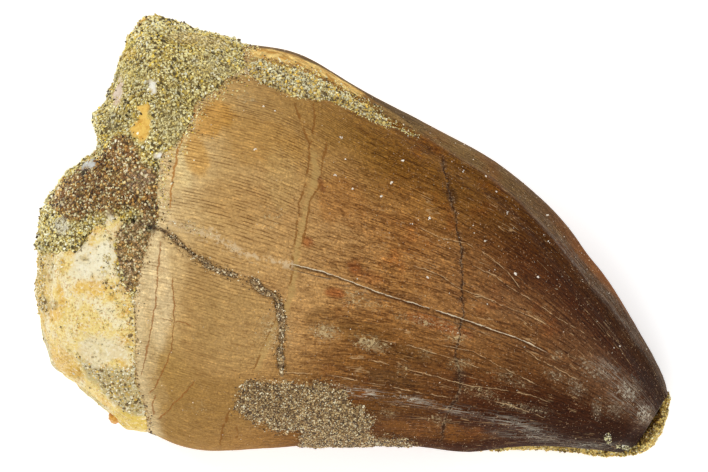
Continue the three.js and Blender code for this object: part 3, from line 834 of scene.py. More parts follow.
def grain_mesh(name, places, normals, sizes, colours, coarse=False):
    """Many irregular grains of sand as one mesh, each of one colour."""
    shape, faces = (OCTAHEDRON, OCTAHEDRON_FACES) if coarse else (ICOSAHEDRON, ICOSAHEDRON_FACES)
    count = len(places)
    turns = RNG.normal(size=(count, 4))
    w, x, y, z = (turns / np.linalg.norm(turns, axis=1, keepdims=True)).T
    spin = np.array([
        [1 - 2 * (y * y + z * z), 2 * (x * y - w * z), 2 * (x * z + w * y)],
        [2 * (x * y + w * z), 1 - 2 * (x * x + z * z), 2 * (y * z - w * x)],
        [2 * (x * z - w * y), 2 * (y * z + w * x), 1 - 2 * (x * x + y * y)],
    ]).transpose(2, 0, 1)
    squash = RNG.uniform((0.8, 0.65, 0.5), (1.25, 1.0, 0.8), (count, 3))
    wobble = RNG.uniform(0.82, 1.15, (count, len(shape), 1))
    local = shape * wobble * squash[:, None, :] * (sizes / 2)[:, None, None]
    centres = places + normals * (RNG.uniform(*GRAIN_LIFT, count) * sizes)[:, None]
    vertices = np.einsum("nij,nkj->nki", spin, local) + centres[:, None, :]
    every = faces + (np.arange(count) * len(shape))[:, None, None]
    obj = make_mesh(name, vertices.reshape(-1, 3), every.reshape(-1, 3), smooth_shading=False)
    set_attribute(obj, "tint", np.repeat(colours, len(shape), 0))
    # Each grain has its own cell in the bake, which all its faces share.
    side = math.ceil(math.sqrt(count))
    index = np.arange(count)
    cell = (np.stack([index % side, index // side], -1) + 0.5) / side
    corner = np.array([[-0.3, -0.3], [0.3, -0.3], [0.0, 0.3]]) / side
    set_bake_map(obj, np.repeat(cell, len(faces), 0)[:, None, :] + corner)
    return obj


def grain_sizes(count, typical, largest):
    """Grain diameters: most near the typical one, a few much larger."""
    return np.clip(typical * np.exp(RNG.normal(0.0, 0.32, count)), 0.5 * typical, largest)


def pick_colours(count, palette):
    """A random colour of a palette for each grain, a little lighter or darker."""
    colours = np.array([linear(*colour) for colour, share in palette])
    shares = np.array([share for colour, share in palette], float)
    chosen = RNG.choice(len(colours), count, p=shares / shares.sum())
    return colours[chosen] * RNG.uniform(0.76, 1.2, (count, 1))


# The sands' palettes: each colour as on screen, and its share.
OLIVE_SAND = [((255, 246, 182), 40), ((214, 190, 98), 19), ((255, 253, 224), 13),
              ((88, 72, 30), 22), ((244, 214, 84), 7)]
BROWN_SAND = [((142, 98, 48), 29), ((200, 152, 78), 24), ((244, 208, 128), 16),
              ((252, 236, 194), 12), ((70, 46, 24), 19)]
GREY_SAND = [((176, 138, 90), 34), ((108, 82, 54), 20), ((246, 226, 184), 22),
             ((220, 178, 116), 24)]
CRACK_SAND = [((142, 112, 72), 34), ((192, 158, 108), 29), ((246, 230, 190), 22),
              ((82, 60, 38), 15)]
PALE_SAND = [((255, 250, 208), 38), ((226, 206, 132), 19), ((102, 82, 38), 18),
             ((246, 208, 92), 24)]
CRUST_SAND = [((168, 132, 80), 34), ((220, 188, 130), 18), ((84, 60, 34), 31),
              ((252, 240, 202), 17)]
BONE_SAND = [((216, 196, 132), 36), ((252, 246, 214), 29), ((128, 104, 56), 19),
             ((232, 196, 90), 16)]
GOLD_SAND = [((224, 190, 92), 42), ((248, 228, 144), 30), ((122, 92, 38), 16),
             ((248, 240, 204), 12)]
DUST_GRAINS = [((246, 234, 210), 40), ((204, 182, 142), 34), ((154, 128, 90), 26)]
FLAKE_GRAINS = [((236, 228, 176), 50), ((186, 178, 130), 30), ((250, 246, 226), 20)]


# ---- Stone and bone ---------------------------------------------------------

BROWN_ZONE = [(-25.8, 7.6), (-24.3, 9.0), (-23.4, 10.2), (-22.4, 10.2), (-21.7, 9.3), (-21.4, 7.6),
              (-19.7, 5.9), (-19.3, 3.3), (-19.0, 0.6), (-20.0, 0.6), (-20.6, 2.2), (-24.1, 2.9),
              (-25.6, 2.3), (-27.5, 1.6), (-29.1, 1.9), (-30.3, 3.3), (-29.8, 4.9), (-28.7, 5.9),
              (-27.6, 6.5)]
GREY_LENS = [(-23.9, 0.6), (-22.0, 1.4), (-20.4, 2.4), (-19.4, 0.6), (-20.6, -0.8), (-21.4, -3.5),
             (-21.9, -5.2), (-22.6, -5.6), (-23.2, -3.5), (-23.7, -1.5)]
SANDY_LENS = [(-27.5, -12.3), (-25.8, -13.0), (-24.2, -13.2), (-22.9, -13.2), (-21.9, -13.2),
              (-20.6, -16.8), (-20.9, -17.8), (-22.6, -17.6), (-24.2, -16.3), (-25.1, -15.2), (-26.4, -14.0)]
ENAMEL_SEAM = [(-22.3, -4.6), (-22.2, -7.0), (-22.2, -10.0), (-22.1, -13.4)]

STONE_STAINS = [
    (-29.1, 1.0, 0.9, 0.9, 0, (236, 230, 206), 0.9),
    (-17.6, 10.4, 1.6, 3.0, 35, (226, 212, 150), 0.5),
    (-22.4, 16.0, 1.6, 1.4, 0, (216, 204, 132), 0.4),
    (-22.6, 19.6, 0.9, 0.8, 30, (224, 204, 84), 0.6),
    (-22.4, 18.2, 0.9, 0.6, 0, (216, 180, 64), 0.5),
    (-24.2, 11.2, 0.9, 1.6, 0, (150, 140, 100), 0.4),
    (-15.4, 19.5, 3.6, 0.8, -10, (224, 196, 128), 0.5),
    # Painted shade: the three near-black spots below are the darkness inside the stone's holes.
    (-20.5, 0.8, 0.45, 0.4, 0, (24, 16, 10), 0.95),
    (-22.1, 1.6, 0.3, 0.25, 0, (34, 24, 16), 0.9),
    (-27.0, 6.3, 0.4, 0.3, 0, (34, 26, 18), 0.9),
    (-14.0, 16.8, 2.6, 1.4, -20, (220, 204, 150), 0.4),
    (-21.5, 5.6, 1.6, 1.2, 0, (196, 170, 146), 0.35),
]
# Lumps and pits of the stone: centre x, y, radii, turn, height.
STONE_SHAPE = [
    (-22.9, 9.4, 1.2, 1.1, 0, 0.7), (-24.6, 2.1, 0.8, 0.7, 0, 0.5), (-29.8, 1.2, 1.4, 1.6, 0, 0.5),
    (-20.3, 0.75, 0.32, 0.25, 0, -2.2), (-22.2, 1.5, 0.3, 0.25, 0, -1.4), (-27.0, 6.3, 0.35, 0.3, 0, -1.6),
    (-25.6, 11.0, 0.7, 1.7, 10, 0.4), (-28.0, 4.2, 1.6, 1.2, 30, 0.4), (-20.4, 20.9, 0.8, 0.7, 0, 0.6),
]
# Fragments set in the stone, with bare surfaces: outline in plan, colour, rise.
AMBER_CHIP = [(-20.2, 13.4), (-21.9, 12.8), (-21.2, 12.4), (-21.5, 11.6), (-22.3, 10.6), (-21.9, 9.8),
              (-21.2, 9.3), (-20.6, 9.8), (-20.3, 11.1), (-20.5, 12.3)]
PINK_CHIP = [(-23.4, 16.3), (-24.2, 15.4), (-24.3, 14.3), (-23.8, 12.9), (-23.1, 13.2), (-22.9, 14.3),
             (-23.1, 15.7)]
BLUE_GREY_CHIP = [(-25.9, 7.8), (-26.8, 7.4), (-27.2, 6.8), (-26.4, 6.5), (-25.8, 6.9)]
UPPER_WHITE_CHIP = [(-20.6, 15.5), (-19.8, 15.3), (-19.6, 14.7), (-19.9, 14.1), (-20.5, 14.4)]
WHITE_CHIP = [(-19.4, 8.4), (-19.9, 8.3), (-20.0, 7.8), (-19.5, 7.6), (-19.2, 8.0)]
WHITE_KNOB = [(-24.4, 2.9), (-25.1, 2.5), (-25.2, 1.5), (-24.4, 1.2), (-23.9, 1.9)]
STONE_CHIPS = [
    (AMBER_CHIP, (246, 202, 98), 0.25), (PINK_CHIP, (220, 200, 176), 0.1),
    (BLUE_GREY_CHIP, (200, 202, 200), 0.15), (WHITE_CHIP, (252, 248, 236), 0.2),
    (WHITE_KNOB, (250, 242, 212), 0.35), (UPPER_WHITE_CHIP, (250, 246, 230), 0.1),
]

BONE_STAINS = [
    (-25.9, -2.0, 3.4, 3.2, 0, (252, 244, 210), 0.8),
    (-24.6, 1.9, 1.0, 1.0, 0, (250, 242, 212), 0.9),
    (-26.4, -5.3, 2.0, 1.0, 0, (242, 194, 76), 0.7),
    (-26.9, 0.3, 1.0, 0.8, 20, (230, 180, 96), 0.8),
    (-23.2, 0.5, 1.1, 1.0, 0, (238, 206, 140), 0.7),
    (-23.2, -5.2, 0.8, 1.8, 30, (240, 208, 138), 0.6),
    (-28.9, -2.6, 0.5, 1.4, -10, (226, 192, 84), 0.7),
    (-30.4, -2.6, 0.9, 2.2, 0, (220, 204, 150), 0.7),
    (-30.2, -6.9, 0.8, 0.6, 0, (176, 150, 90), 0.7),
    (-29.8, -7.9, 0.9, 0.7, 0, (236, 190, 84), 0.8),
    (-31.2, -6.0, 1.0, 4.0, 0, (224, 190, 104), 0.6),
    (-25.6, -11.4, 3.4, 1.8, -5, (238, 224, 184), 0.75),
    (-28.8, -12.8, 2.0, 1.3, -45, (236, 194, 100), 0.8),
    (-27.9, -13.6, 1.0, 0.7, -20, (222, 176, 54), 0.8),
    (-22.3, -18.3, 2.2, 1.2, -20, (232, 200, 84), 0.9),
    (-30.8, -12.4, 0.8, 2.8, 20, (214, 208, 168), 0.8),
    (-27.0, -16.4, 3.4, 0.7, -38, (204, 194, 140), 0.7),
]
BONE_SHAPE = [
    (-27.0, -2.4, 0.2, 0.7, 70, -0.8), (-25.7, -11.3, 2.6, 1.6, 0, -0.35), (-24.6, 2.0, 0.7, 0.6, 0, 0.5),
    (-26.5, -5.2, 1.6, 0.9, 0, 0.3), (-29.0, -9.0, 2.0, 1.6, 20, 0.3), (-24.0, -8.0, 2.0, 1.8, 0, 0.25),
    (-28.6, -1.0, 0.4, 0.9, 60, -0.5),
]
# Deep holes in the stone, which no grain covers: centre x, y, radius.
HOLES = [(-20.3, 0.75, 0.42), (-22.15, 1.55, 0.3), (-27.0, 6.3, 0.35)]
FLUSH_REACH = 1.3     # how far from the base margin the block's relief is gentler
SLOPE_REACH = 2.4     # how far from it the block slopes down to the enamel
SWAY_BELOW = 17.0     # the height below which what is laid out in plan wanders
CHIP_DEPTH = 4.4      # how far down the side a fragment at the edge reaches
ORANGE_CHIP_PLACE = (-23.9, -18.2, 11.0)
# Where the sand of the crack widens: centre x, y, radii, turn, amount.
CRACK_BLOTS = [(-9.9, -4.7, 1.1, 0.9, 0, 0.3), (-7.4, -7.3, 0.9, 1.1, 0, 0.3),
               (-7.2, -12.8, 0.9, 1.3, 0, 0.3)]
PAD_REGION = (8.0, -10.0)     # the enamel by the tip's sand has a greater x and a lesser y
PAD_GRAINS_END = -15.7    # the greatest y of the grains on that sand
LOOSE_SHARE = 0.01        # the share of places on the bone with a loose grain
PAD_END = (31.5, -15.6)   # about the greatest x and y of the sand behind the tip


def remeshed(node, voxel):
    """Vertices, faces and normals of a fine even copy of a CAD piece, with its
    edges rounded, in millimetres."""
    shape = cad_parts[node].data.copy()
    copy = bpy.data.objects.new(node + "_fine", shape)
    bpy.context.scene.collection.objects.link(copy)
    remesh = copy.modifiers.new("remesh", "REMESH")
    remesh.mode = "VOXEL"
    remesh.voxel_size = voxel * MM
    soften = copy.modifiers.new("soften", "SMOOTH")
    soften.factor = 0.6
    soften.iterations = 7
    evaluated = copy.evaluated_get(bpy.context.evaluated_depsgraph_get())
    mesh = evaluated.to_mesh()
    vertices = np.empty(len(mesh.vertices) * 3)
    mesh.vertices.foreach_get("co", vertices)
    normals = np.empty(len(mesh.vertices) * 3)
    mesh.vertex_normals.foreach_get("vector", normals)
    faces = np.empty(len(mesh.polygons) * 4, int)
    mesh.loops.foreach_get("vertex_index", faces)
    evaluated.to_mesh_clear()
    bpy.data.objects.remove(copy)
    bpy.data.meshes.remove(shape)
    return vertices.reshape(-1, 3) / MM, faces.reshape(-1, 4), normals.reshape(-1, 3)


def swayed(points):
    """Points whose plan place wanders more the deeper they lie, so that what is
    laid out in plan breaks up down the sides."""
    depth = np.clip(1.0 - points[:, 2] / SWAY_BELOW, 0.0, 1.0)
    sway = np.stack([noise(points, 7.0, 171), noise(points, 7.0, 175), np.zeros(len(points))], -1)
    return points + 7.0 * depth[:, None] * sway


def shaped(vertices, normals, features):
    """Lumps and pits at chosen places on the upper side."""
    return smooth(0.1, 0.6, normals[:, 2]) * ovals(vertices, features).sum(axis=0)


def lumpy(vertices, normals, seed):
    """The broken surface of the block: clods with creases between them, and
    deeper hollows low down on the sides."""
    low = smooth(14.0, 8.0, vertices[:, 2]) * smooth(0.6, 0.0, normals[:, 2])
    creases = smooth(0.14, 0.0, np.abs(rough(vertices, 2.6, seed)))
    clods = 1.4 * (0.5 - cell_distance(vertices, 4.6, seed + 15)) + 1.3 * rough(vertices, 5.0, seed + 10)
    return 0.3 * rough(vertices, 3.2, seed + 5) - 0.22 * creases + low * np.minimum(clods - 0.3, 0.1)


def margin_level():
    """Places y and heights z of the enamel's surface along its base margin."""
    angles = np.linspace(0.3, math.pi - 0.3, 60)
    ring = crown_points(margin_starts(angles, 0.0), angles)[::-1]
    return ring[:, 1], ring[:, 2]


def flush(vertices, normals, height):
    """Vertices raised along their normals, and moved up or down by the base
    margin so that the block meets the enamel's surface."""
    away = path_distance(vertices, BASE_MARGIN)[0]
    step = np.interp(vertices[:, 1], *margin_level()) - vertices[:, 2]
    near = np.exp(-(away / FLUSH_REACH) ** 2)
    sunk = 0.9 * np.minimum(step, 0.0) * np.exp(-(away / SLOPE_REACH) ** 2)
    lifted = np.clip(step, 0.0, 0.5) * near * smooth(0.5, 0.8, normals[:, 2])
    raised = vertices + normals * (height * (1.0 - 0.6 * near))[:, None]
    raised[:, 2] += sunk + lifted
    return raised


def body_mesh(name, vertices, faces, raised, tint):
    """A body of stone, bone or sand with its surface raised, down to the floor.
    Gives the object and the corners and normals of its faces."""
    raised[:, 2] = np.maximum(raised[:, 2], 0.0)
    obj = make_mesh(name, raised, faces)
    set_bake_map(obj, six_sided_map(vertices, faces))
    set_attribute(obj, "tint", tint)
    corners = raised[faces]
    return obj, corners, outward_normals(corners)


def stone_zones(points):
    """How brown and how grey the sandstone is at each point: as laid out in plan
    above, and in loose brown patches down the sides."""
    above = smooth(9.0, 15.0, points[:, 2])
    wander = 0.5 * rough(points, 1.6, 71)
    brown = smooth(-0.35, 0.35, inside_distance(points, BROWN_ZONE) + wander)
    grey = smooth(-0.25, 0.25, inside_distance(points, GREY_LENS) + 0.5 * wander)
    patches = smooth(0.1, 0.4, rough(points, 6.5, 87))
    return brown * above + patches * (1.0 - above), grey * above


def blotched(tint, points):
    """The sandstone's darker, yellower and paler blotches on a colour array."""
    tint = toned(tint, (0.76, 0.74, 0.68), smooth(0.05, 0.6, rough(points, 2.3, 72)))
    tint = toned(tint, (1.06, 1.0, 0.70), smooth(0.1, 0.5, rough(points, 1.7, 74)))
    return toned(tint, (1.12, 1.12, 1.16), smooth(0.15, 0.6, rough(points, 2.6, 76)))


def chips(points, tint):
    """A colour array with the fragments' colours, and how far each point is on
    a fragment and how high that stands."""
    bare = np.zeros(len(points))
    rise = np.zeros(len(points))
    wander = 0.28 * rough(points, 0.7, 78)
    for outline, colour, height in STONE_CHIPS:
        inside = smooth(-0.08, 0.12, inside_distance(points, outline) + wander)
        highest = np.max(points[:, 2], where=inside > 0.5, initial=0.0)
        inside *= smooth(CHIP_DEPTH, CHIP_DEPTH - 1.5, highest - points[:, 2] + 3.0 * wander)
        tint = mixed(tint, linear(*colour), inside)
        bare = np.maximum(bare, inside)
        rise = np.maximum(rise, inside * height)
    return tint, bare, rise


def nearness(points, normals, others, reach):
    """How near each point is to the closest of the others that it faces: 1 at
    it, 0 from the reach on."""
    tree = KDTree(len(others))
    for index, other in enumerate(others):
        tree.insert(other, index)
    tree.balance()
    offset = others[[tree.find(point)[1] for point in points]] - points
    distance = np.linalg.norm(offset, axis=1)
    facing = (offset * normals).sum(1) / np.maximum(distance, 1e-9)
    return smooth(reach, 0.4 * reach, distance) * smooth(-0.3, 0.2, facing)


def build_stone(bone_points):
    """The sandstone cap at the upper left of the base, which reaches the bone."""
    vertices, faces, normals = remeshed("base_matrix", 0.26)
    tint = np.tile(linear(224, 202, 124), (len(vertices), 1))
    brown, grey = stone_zones(vertices)
    tint = mixed(tint, linear(154, 112, 58), brown)
    tint = mixed(tint, linear(186, 154, 108), grey)
    tint = stained(blotched(tint, vertices), swayed(vertices), STONE_STAINS, 101)
    tint, bare, rise = chips(vertices, tint)
    height = 0.2 * smooth(0.0, 0.5, normals[:, 2]) + lumpy(vertices, normals, 81)
    height += shaped(vertices, normals, STONE_SHAPE) + 0.7 * nearness(vertices, normals, bone_points, 1.2)
    height -= 0.35 * patch(vertices, -19.0, 21.9, 1.4, 0.8)
    grainy = 0.24 * rough(vertices, 1.0, 96) + 0.10 * (0.5 - cell_distance(vertices, 0.34, 95))
    raised = flush(vertices, normals, height + grainy * (1.0 - bare) + rise)
    stone, corners, outward = body_mesh("base_sandstone", vertices, faces, raised, tint)
    set_attribute(stone, "bare", bare)
    return stone, corners, outward


def build_bone():
    """The broken root bone at the lower left of the base."""
    vertices, faces, normals = remeshed("root_bone", 0.25)
    height = 0.1 + 0.1 * smooth(0.0, 0.5, normals[:, 2]) + 0.7 * lumpy(vertices, normals, 111)
    height += shaped(vertices, normals, BONE_SHAPE)
    height += 0.12 * rough(vertices, 0.8, 121)
    pits = smooth(0.42, 0.2, cell_distance(vertices, 1.3, 125)) * smooth(0.0, 0.6, noise(vertices, 3.0, 131))
    raised = flush(vertices, normals, height - 0.25 * pits)
    places = swayed(vertices)
    tint = np.tile(linear(246, 220, 136), (len(vertices), 1))
    tint = mixed(tint, linear(236, 190, 82), 0.75 * smooth(0.05, 0.45, rough(vertices, 1.4, 135, 4)))
    tint = mixed(tint, linear(252, 242, 202), 0.65 * smooth(0.05, 0.45, rough(vertices, 1.7, 141, 4)))
    tint = stained(tint, places, BONE_STAINS, 151, 1.1)
    sandy = smooth(-0.3, 0.2, inside_distance(vertices, SANDY_LENS) + 0.3 * rough(vertices, 1.0, 155))
    sandy *= smooth(0.0, 0.4, normals[:, 2])
    tint = mixed(tint, linear(192, 178, 130), 0.85 * sandy)
    bone, corners, outward = body_mesh("root_bone_surface", vertices, faces, raised, tint)
    white = np.maximum(patch(places, -25.9, -2.0, 3.0, 2.6), patch(places, -25.6, -11.4, 3.2, 1.6))
    set_attribute(bone, "flecks", 1.0 - 0.75 * smooth(0.3, 0.7, white))
    return bone, corners, outward


def build_tip_pad(enamel_points):
    """The golden sand behind the tip and along the lower edge. It reaches up to
    the enamel and is hollowed round its foot."""
    vertices, faces, normals = remeshed("tip_matrix", 0.18)
    height = 1.1 * nearness(vertices, normals, enamel_points, 1.8) - 0.05
    foot = smooth(4.0, 1.5, vertices[:, 2]) * smooth(0.6, 0.0, normals[:, 2])
    height -= foot * np.maximum(0.2 + 0.9 * rough(vertices, 2.6, 167), 0.0)
    height += 0.12 * rough(vertices, 1.4, 161) + 0.05 * (0.5 - cell_distance(vertices, 0.3, 165))
    raised = vertices + normals * height[:, None]
    raised[:, 0] = np.minimum(raised[:, 0], PAD_END[0] + 0.1 * rough(vertices, 0.8, 168))
    raised[:, 1] = np.minimum(raised[:, 1], PAD_END[1] + 0.2 * rough(vertices, 0.8, 169))
    tint = np.tile(linear(216, 182, 92), (len(vertices), 1))
    return body_mesh("tip_sand", vertices, faces, raised, tint)


def orange_chip():
    """The small rounded chip at the bone's lower edge."""
    ball = bmesh.new()
    bmesh.ops.create_icosphere(ball, subdivisions=4, radius=1.0)
    sphere = np.array([v.co for v in ball.verts])
    faces = np.array([[v.index for v in f.verts] for f in ball.faces])
    ball.free()
    radii = np.array([0.62, 0.6, 1.1])
    vertices = sphere * (1.0 + 0.3 * rough(sphere, 0.7, 228))[:, None] * radii + ORANGE_CHIP_PLACE
    chip = make_mesh("orange_chip", vertices, faces)
    set_bake_map(chip, six_sided_map(vertices, faces))
    return chip


# ---- Materials --------------------------------------------------------------


class Paint:
    """A material's nodes, with one short call for each kind."""

    def __init__(self, name):
        """Starts an empty material."""
        self.material = bpy.data.materials.new(name)
        self.material.use_nodes = True
        self.tree = self.material.node_tree
        self.tree.nodes.clear()
        self.where = self.node("TexCoord").outputs["Object"]

    def fill(self, socket, value):
        """Gives a socket a link, a colour or a number."""
        if isinstance(value, bpy.types.NodeSocket):
            self.tree.links.new(value, socket)
        elif isinstance(value, np.ndarray):
            socket.default_value = (*value, 1.0)
        else:
            socket.default_value = value

    def node(self, kind, inputs=None, **settings):
        """A shader node with its settings and inputs."""
        node = self.tree.nodes.new("ShaderNode" + kind)
        for key, setting in settings.items():
            setattr(node, key, setting)
        for key, value in (inputs or {}).items():
            self.fill(node.inputs[key], value)
        return node

    def attribute(self, name, output="Fac"):
        """A value stored on the mesh."""
        return self.node("Attribute", attribute_name=name).outputs[output]

    def math(self, operation, first, second=0.0, third=0.0):
        """The result of a calculation on up to three values."""
        return self.node("Math", {0: first, 1: second, 2: third}, operation=operation).outputs[0]

    def times(self, first, second):
        """The product of two values."""
        return self.math("MULTIPLY", first, second)

    def most(self, *values):
        """The greatest of some values."""
        total = values[0]
        for value in values[1:]:
            total = self.math("MAXIMUM", total, value)
        return total

    def noise(self, scale, detail=2.0, roughness=0.5, vector=None):
        """Noise of a scale per metre at the object's places, or at a vector."""
        inputs = {"Vector": vector or self.where, "Scale": scale, "Detail": detail, "Roughness": roughness}
        return self.node("TexNoise", inputs).outputs["Fac"]

    def ridge(self, noise):
        """How far a noise is from its middle: 0 along thin wandering lines."""
        return self.math("ABSOLUTE", self.math("SUBTRACT", noise, 0.5))

    def along(self, flow, across, lengthwise, detail=2.0):
        """Noise drawn out along the crown, at scales per millimetre."""
        scale = (across, across, lengthwise)
        stretched = self.node("VectorMath", {0: flow, 1: scale}, operation="MULTIPLY").outputs[0]
        return self.noise(1.0, detail, 0.6, stretched)

    def cells(self, scale, output="Distance"):
        """Cells the size of grains: the distance to their middles, or their colours."""
        return self.node("TexVoronoi", {"Vector": self.where, "Scale": scale}).outputs[output]

    def step(self, value, low, high):
        """A soft step from 0 at low to 1 at high."""
        inputs = {"Value": value, "From Min": low, "From Max": high}
        return self.node("MapRange", inputs, interpolation_type="SMOOTHSTEP").outputs[0]

    def blend(self, amount, first, second):
        """A number between two numbers."""
        return self.math("MULTIPLY_ADD", amount, self.math("SUBTRACT", second, first), first)

    def span(self, value, low, high, to_low, to_high):
        """A value from low to high taken to one between two others."""
        inputs = {"Value": value, "From Min": low, "From Max": high, "To Min": to_low, "To Max": to_high}
        return self.node("MapRange", inputs).outputs[0]

    def mix(self, amount, first, second, blend="MIX"):
        """A colour between two colours, or blended in another way."""
        node = self.node("Mix", data_type="RGBA", blend_type=blend)
        sockets = [node.inputs[0]] + [s for s in node.inputs if s.type == "RGBA"]
        for socket, value in zip(sockets, (amount, first, second)):
            self.fill(socket, value)
        return next(s for s in node.outputs if s.type == "RGBA")

    def rippled(self, value, colour, light, dark):
        """A colour made lighter where a noise is high and darker where it is low."""
        colour = self.shade(self.step(value, 0.53, 0.70), colour, light)
        return self.shade(self.step(value, 0.47, 0.30), colour, dark)

    def shade(self, amount, colour, by):
        """A colour multiplied by another one, by an amount."""
        return self.mix(amount, colour, by, "MULTIPLY")

    def finish(self, colour, roughness, height, bump_mm, **shader):
        """Joins colour, roughness and bump to the surface shader."""
        bump = self.node("Bump", {"Height": height, "Distance": bump_mm * MM})
        inputs = {"Base Color": colour, "Roughness": roughness, "Normal": bump.outputs[0], **shader}
        surface = self.node("BsdfPrincipled", inputs)
        self.node("OutputMaterial", {"Surface": surface.outputs[0]})
        return self.material


# What the enamel's pattern multiplies its colour by.
STRIA_SHADE = np.array([0.44, 0.36, 0.30])
WRINKLE_SHADE = np.array([0.50, 0.42, 0.34])
STREAK_LIGHT = np.array([1.26, 1.28, 1.24])
STREAK_SHADE = np.array([0.74, 0.66, 0.60])
FLECK_LIGHT = np.array([1.28, 1.27, 1.24])
FLECK_SHADE = np.array([0.78, 0.73, 0.68])
SPECK_LIGHT = np.array([1.48, 1.45, 1.36])
SPECK_SHADE = np.array([0.66, 0.60, 0.54])
# Painted highlight: what thin bright dashes, glints of light on the striae, multiply it by.
PAINTED_GLINT_LIGHT = np.array([1.58, 1.60, 1.60])
REDDISH_SHADE = np.array([1.05, 0.80, 0.60])
STRIAE_ROUND_BASE = 400.0     # striae all round the crown near its base
STRIAE_ROUND_TIP = 190.0      # and the fewer ones towards its tip


def striae(paint, flow, place):
    """Fine uneven lines along the crown: 1 on a line, 0 between them."""
    parts = paint.node("SeparateXYZ", {0: flow}).outputs
    angle = paint.math("ARCTAN2", parts[1], parts[0])
    angle = paint.math("MULTIPLY_ADD", paint.along(flow, 0.3, 0.07), 0.05, angle)
    angle = paint.math("MULTIPLY_ADD", paint.along(flow, 1.3, 0.3), 0.010, angle)
    fine = paint.step(paint.math("SINE", paint.times(angle, STRIAE_ROUND_BASE)), 0.1, 0.95)
    wide = paint.step(paint.math("SINE", paint.times(angle, STRIAE_ROUND_TIP)), 0.3, 0.95)
    dashes = paint.step(paint.along(flow, 4.4, 0.8, 3.0), 0.38, 0.56)
    return paint.times(paint.blend(paint.step(place, 0.42, 0.62), fine, wide), dashes)


def enamel_pattern(paint, flow, place, lines, fleck, speck, mottle):
    """The enamel's tint with striae, wrinkles, streaks, flecks, specks and painted glints on it."""
    upper = paint.step(paint.node("SeparateXYZ", {0: flow}).outputs[0], -9.0, 4.0)
    strength = paint.step(paint.along(flow, 0.5, 0.16, 3.0), 0.36, 0.64)
    lined = paint.times(paint.span(strength, 0.0, 1.0, 0.3, 1.0), paint.span(upper, 0.0, 1.0, 0.4, 1.0))
    colour = paint.shade(paint.times(lines, lined), paint.attribute("tint", "Color"), STRIA_SHADE)
    wrinkles = paint.step(paint.ridge(paint.along(flow, 1.2, 0.2, 3.0)), 0.03, 0.004)
    wrinkles = paint.times(paint.step(place, 0.2, 0.34), wrinkles)
    colour = paint.shade(paint.times(wrinkles, 0.8), colour, WRINKLE_SHADE)
    scratches = paint.step(paint.ridge(paint.along(flow, 1.9, 0.24)), 0.045, 0.012)
    scratches = paint.times(paint.step(place, 0.24, 0.38), scratches)
    colour = paint.shade(paint.times(scratches, 0.75), colour, WRINKLE_SHADE)
    streaked = paint.rippled(paint.along(flow, 2.4, 0.2, 4.0), colour, STREAK_LIGHT, STREAK_SHADE)
    streaky = paint.times(paint.span(upper, 0.0, 1.0, 0.5, 1.0), paint.span(place, 0.15, 0.4, 0.45, 1.0))
    colour = paint.mix(streaky, colour, streaked)
    colour = paint.rippled(fleck, colour, FLECK_LIGHT, FLECK_SHADE)
    spread = paint.span(place, 0.15, 0.38, 0.5, 1.0)
    # Painted highlights: thin bright dashes that stand in for light glinting on the striae.
    painted_glint = paint.along(flow, 7.5, 1.6, 3.0)
    for value, low, high, factor in (
            (speck, 0.54, 0.62, SPECK_LIGHT),
            (speck, 0.46, 0.38, SPECK_SHADE),
            (painted_glint, 0.58, 0.68, PAINTED_GLINT_LIGHT)):
        colour = paint.shade(paint.times(paint.step(value, low, high), spread), colour, factor)
    spark = paint.times(paint.step(paint.noise(5200.0, 2.0, 0.6), 0.65, 0.70), spread)
    colour = paint.mix(paint.times(spark, 0.6), colour, linear(206, 168, 128))
    cloud = paint.step(paint.noise(260.0, 4.0, 0.6), 0.54, 0.72)
    reddish = paint.times(cloud, paint.step(place, 0.28, 0.4))
    colour = paint.shade(paint.times(reddish, 0.8), colour, REDDISH_SHADE)
    return paint.shade(paint.times(paint.step(mottle, 0.45, 0.8), 0.5), colour, FLECK_SHADE)


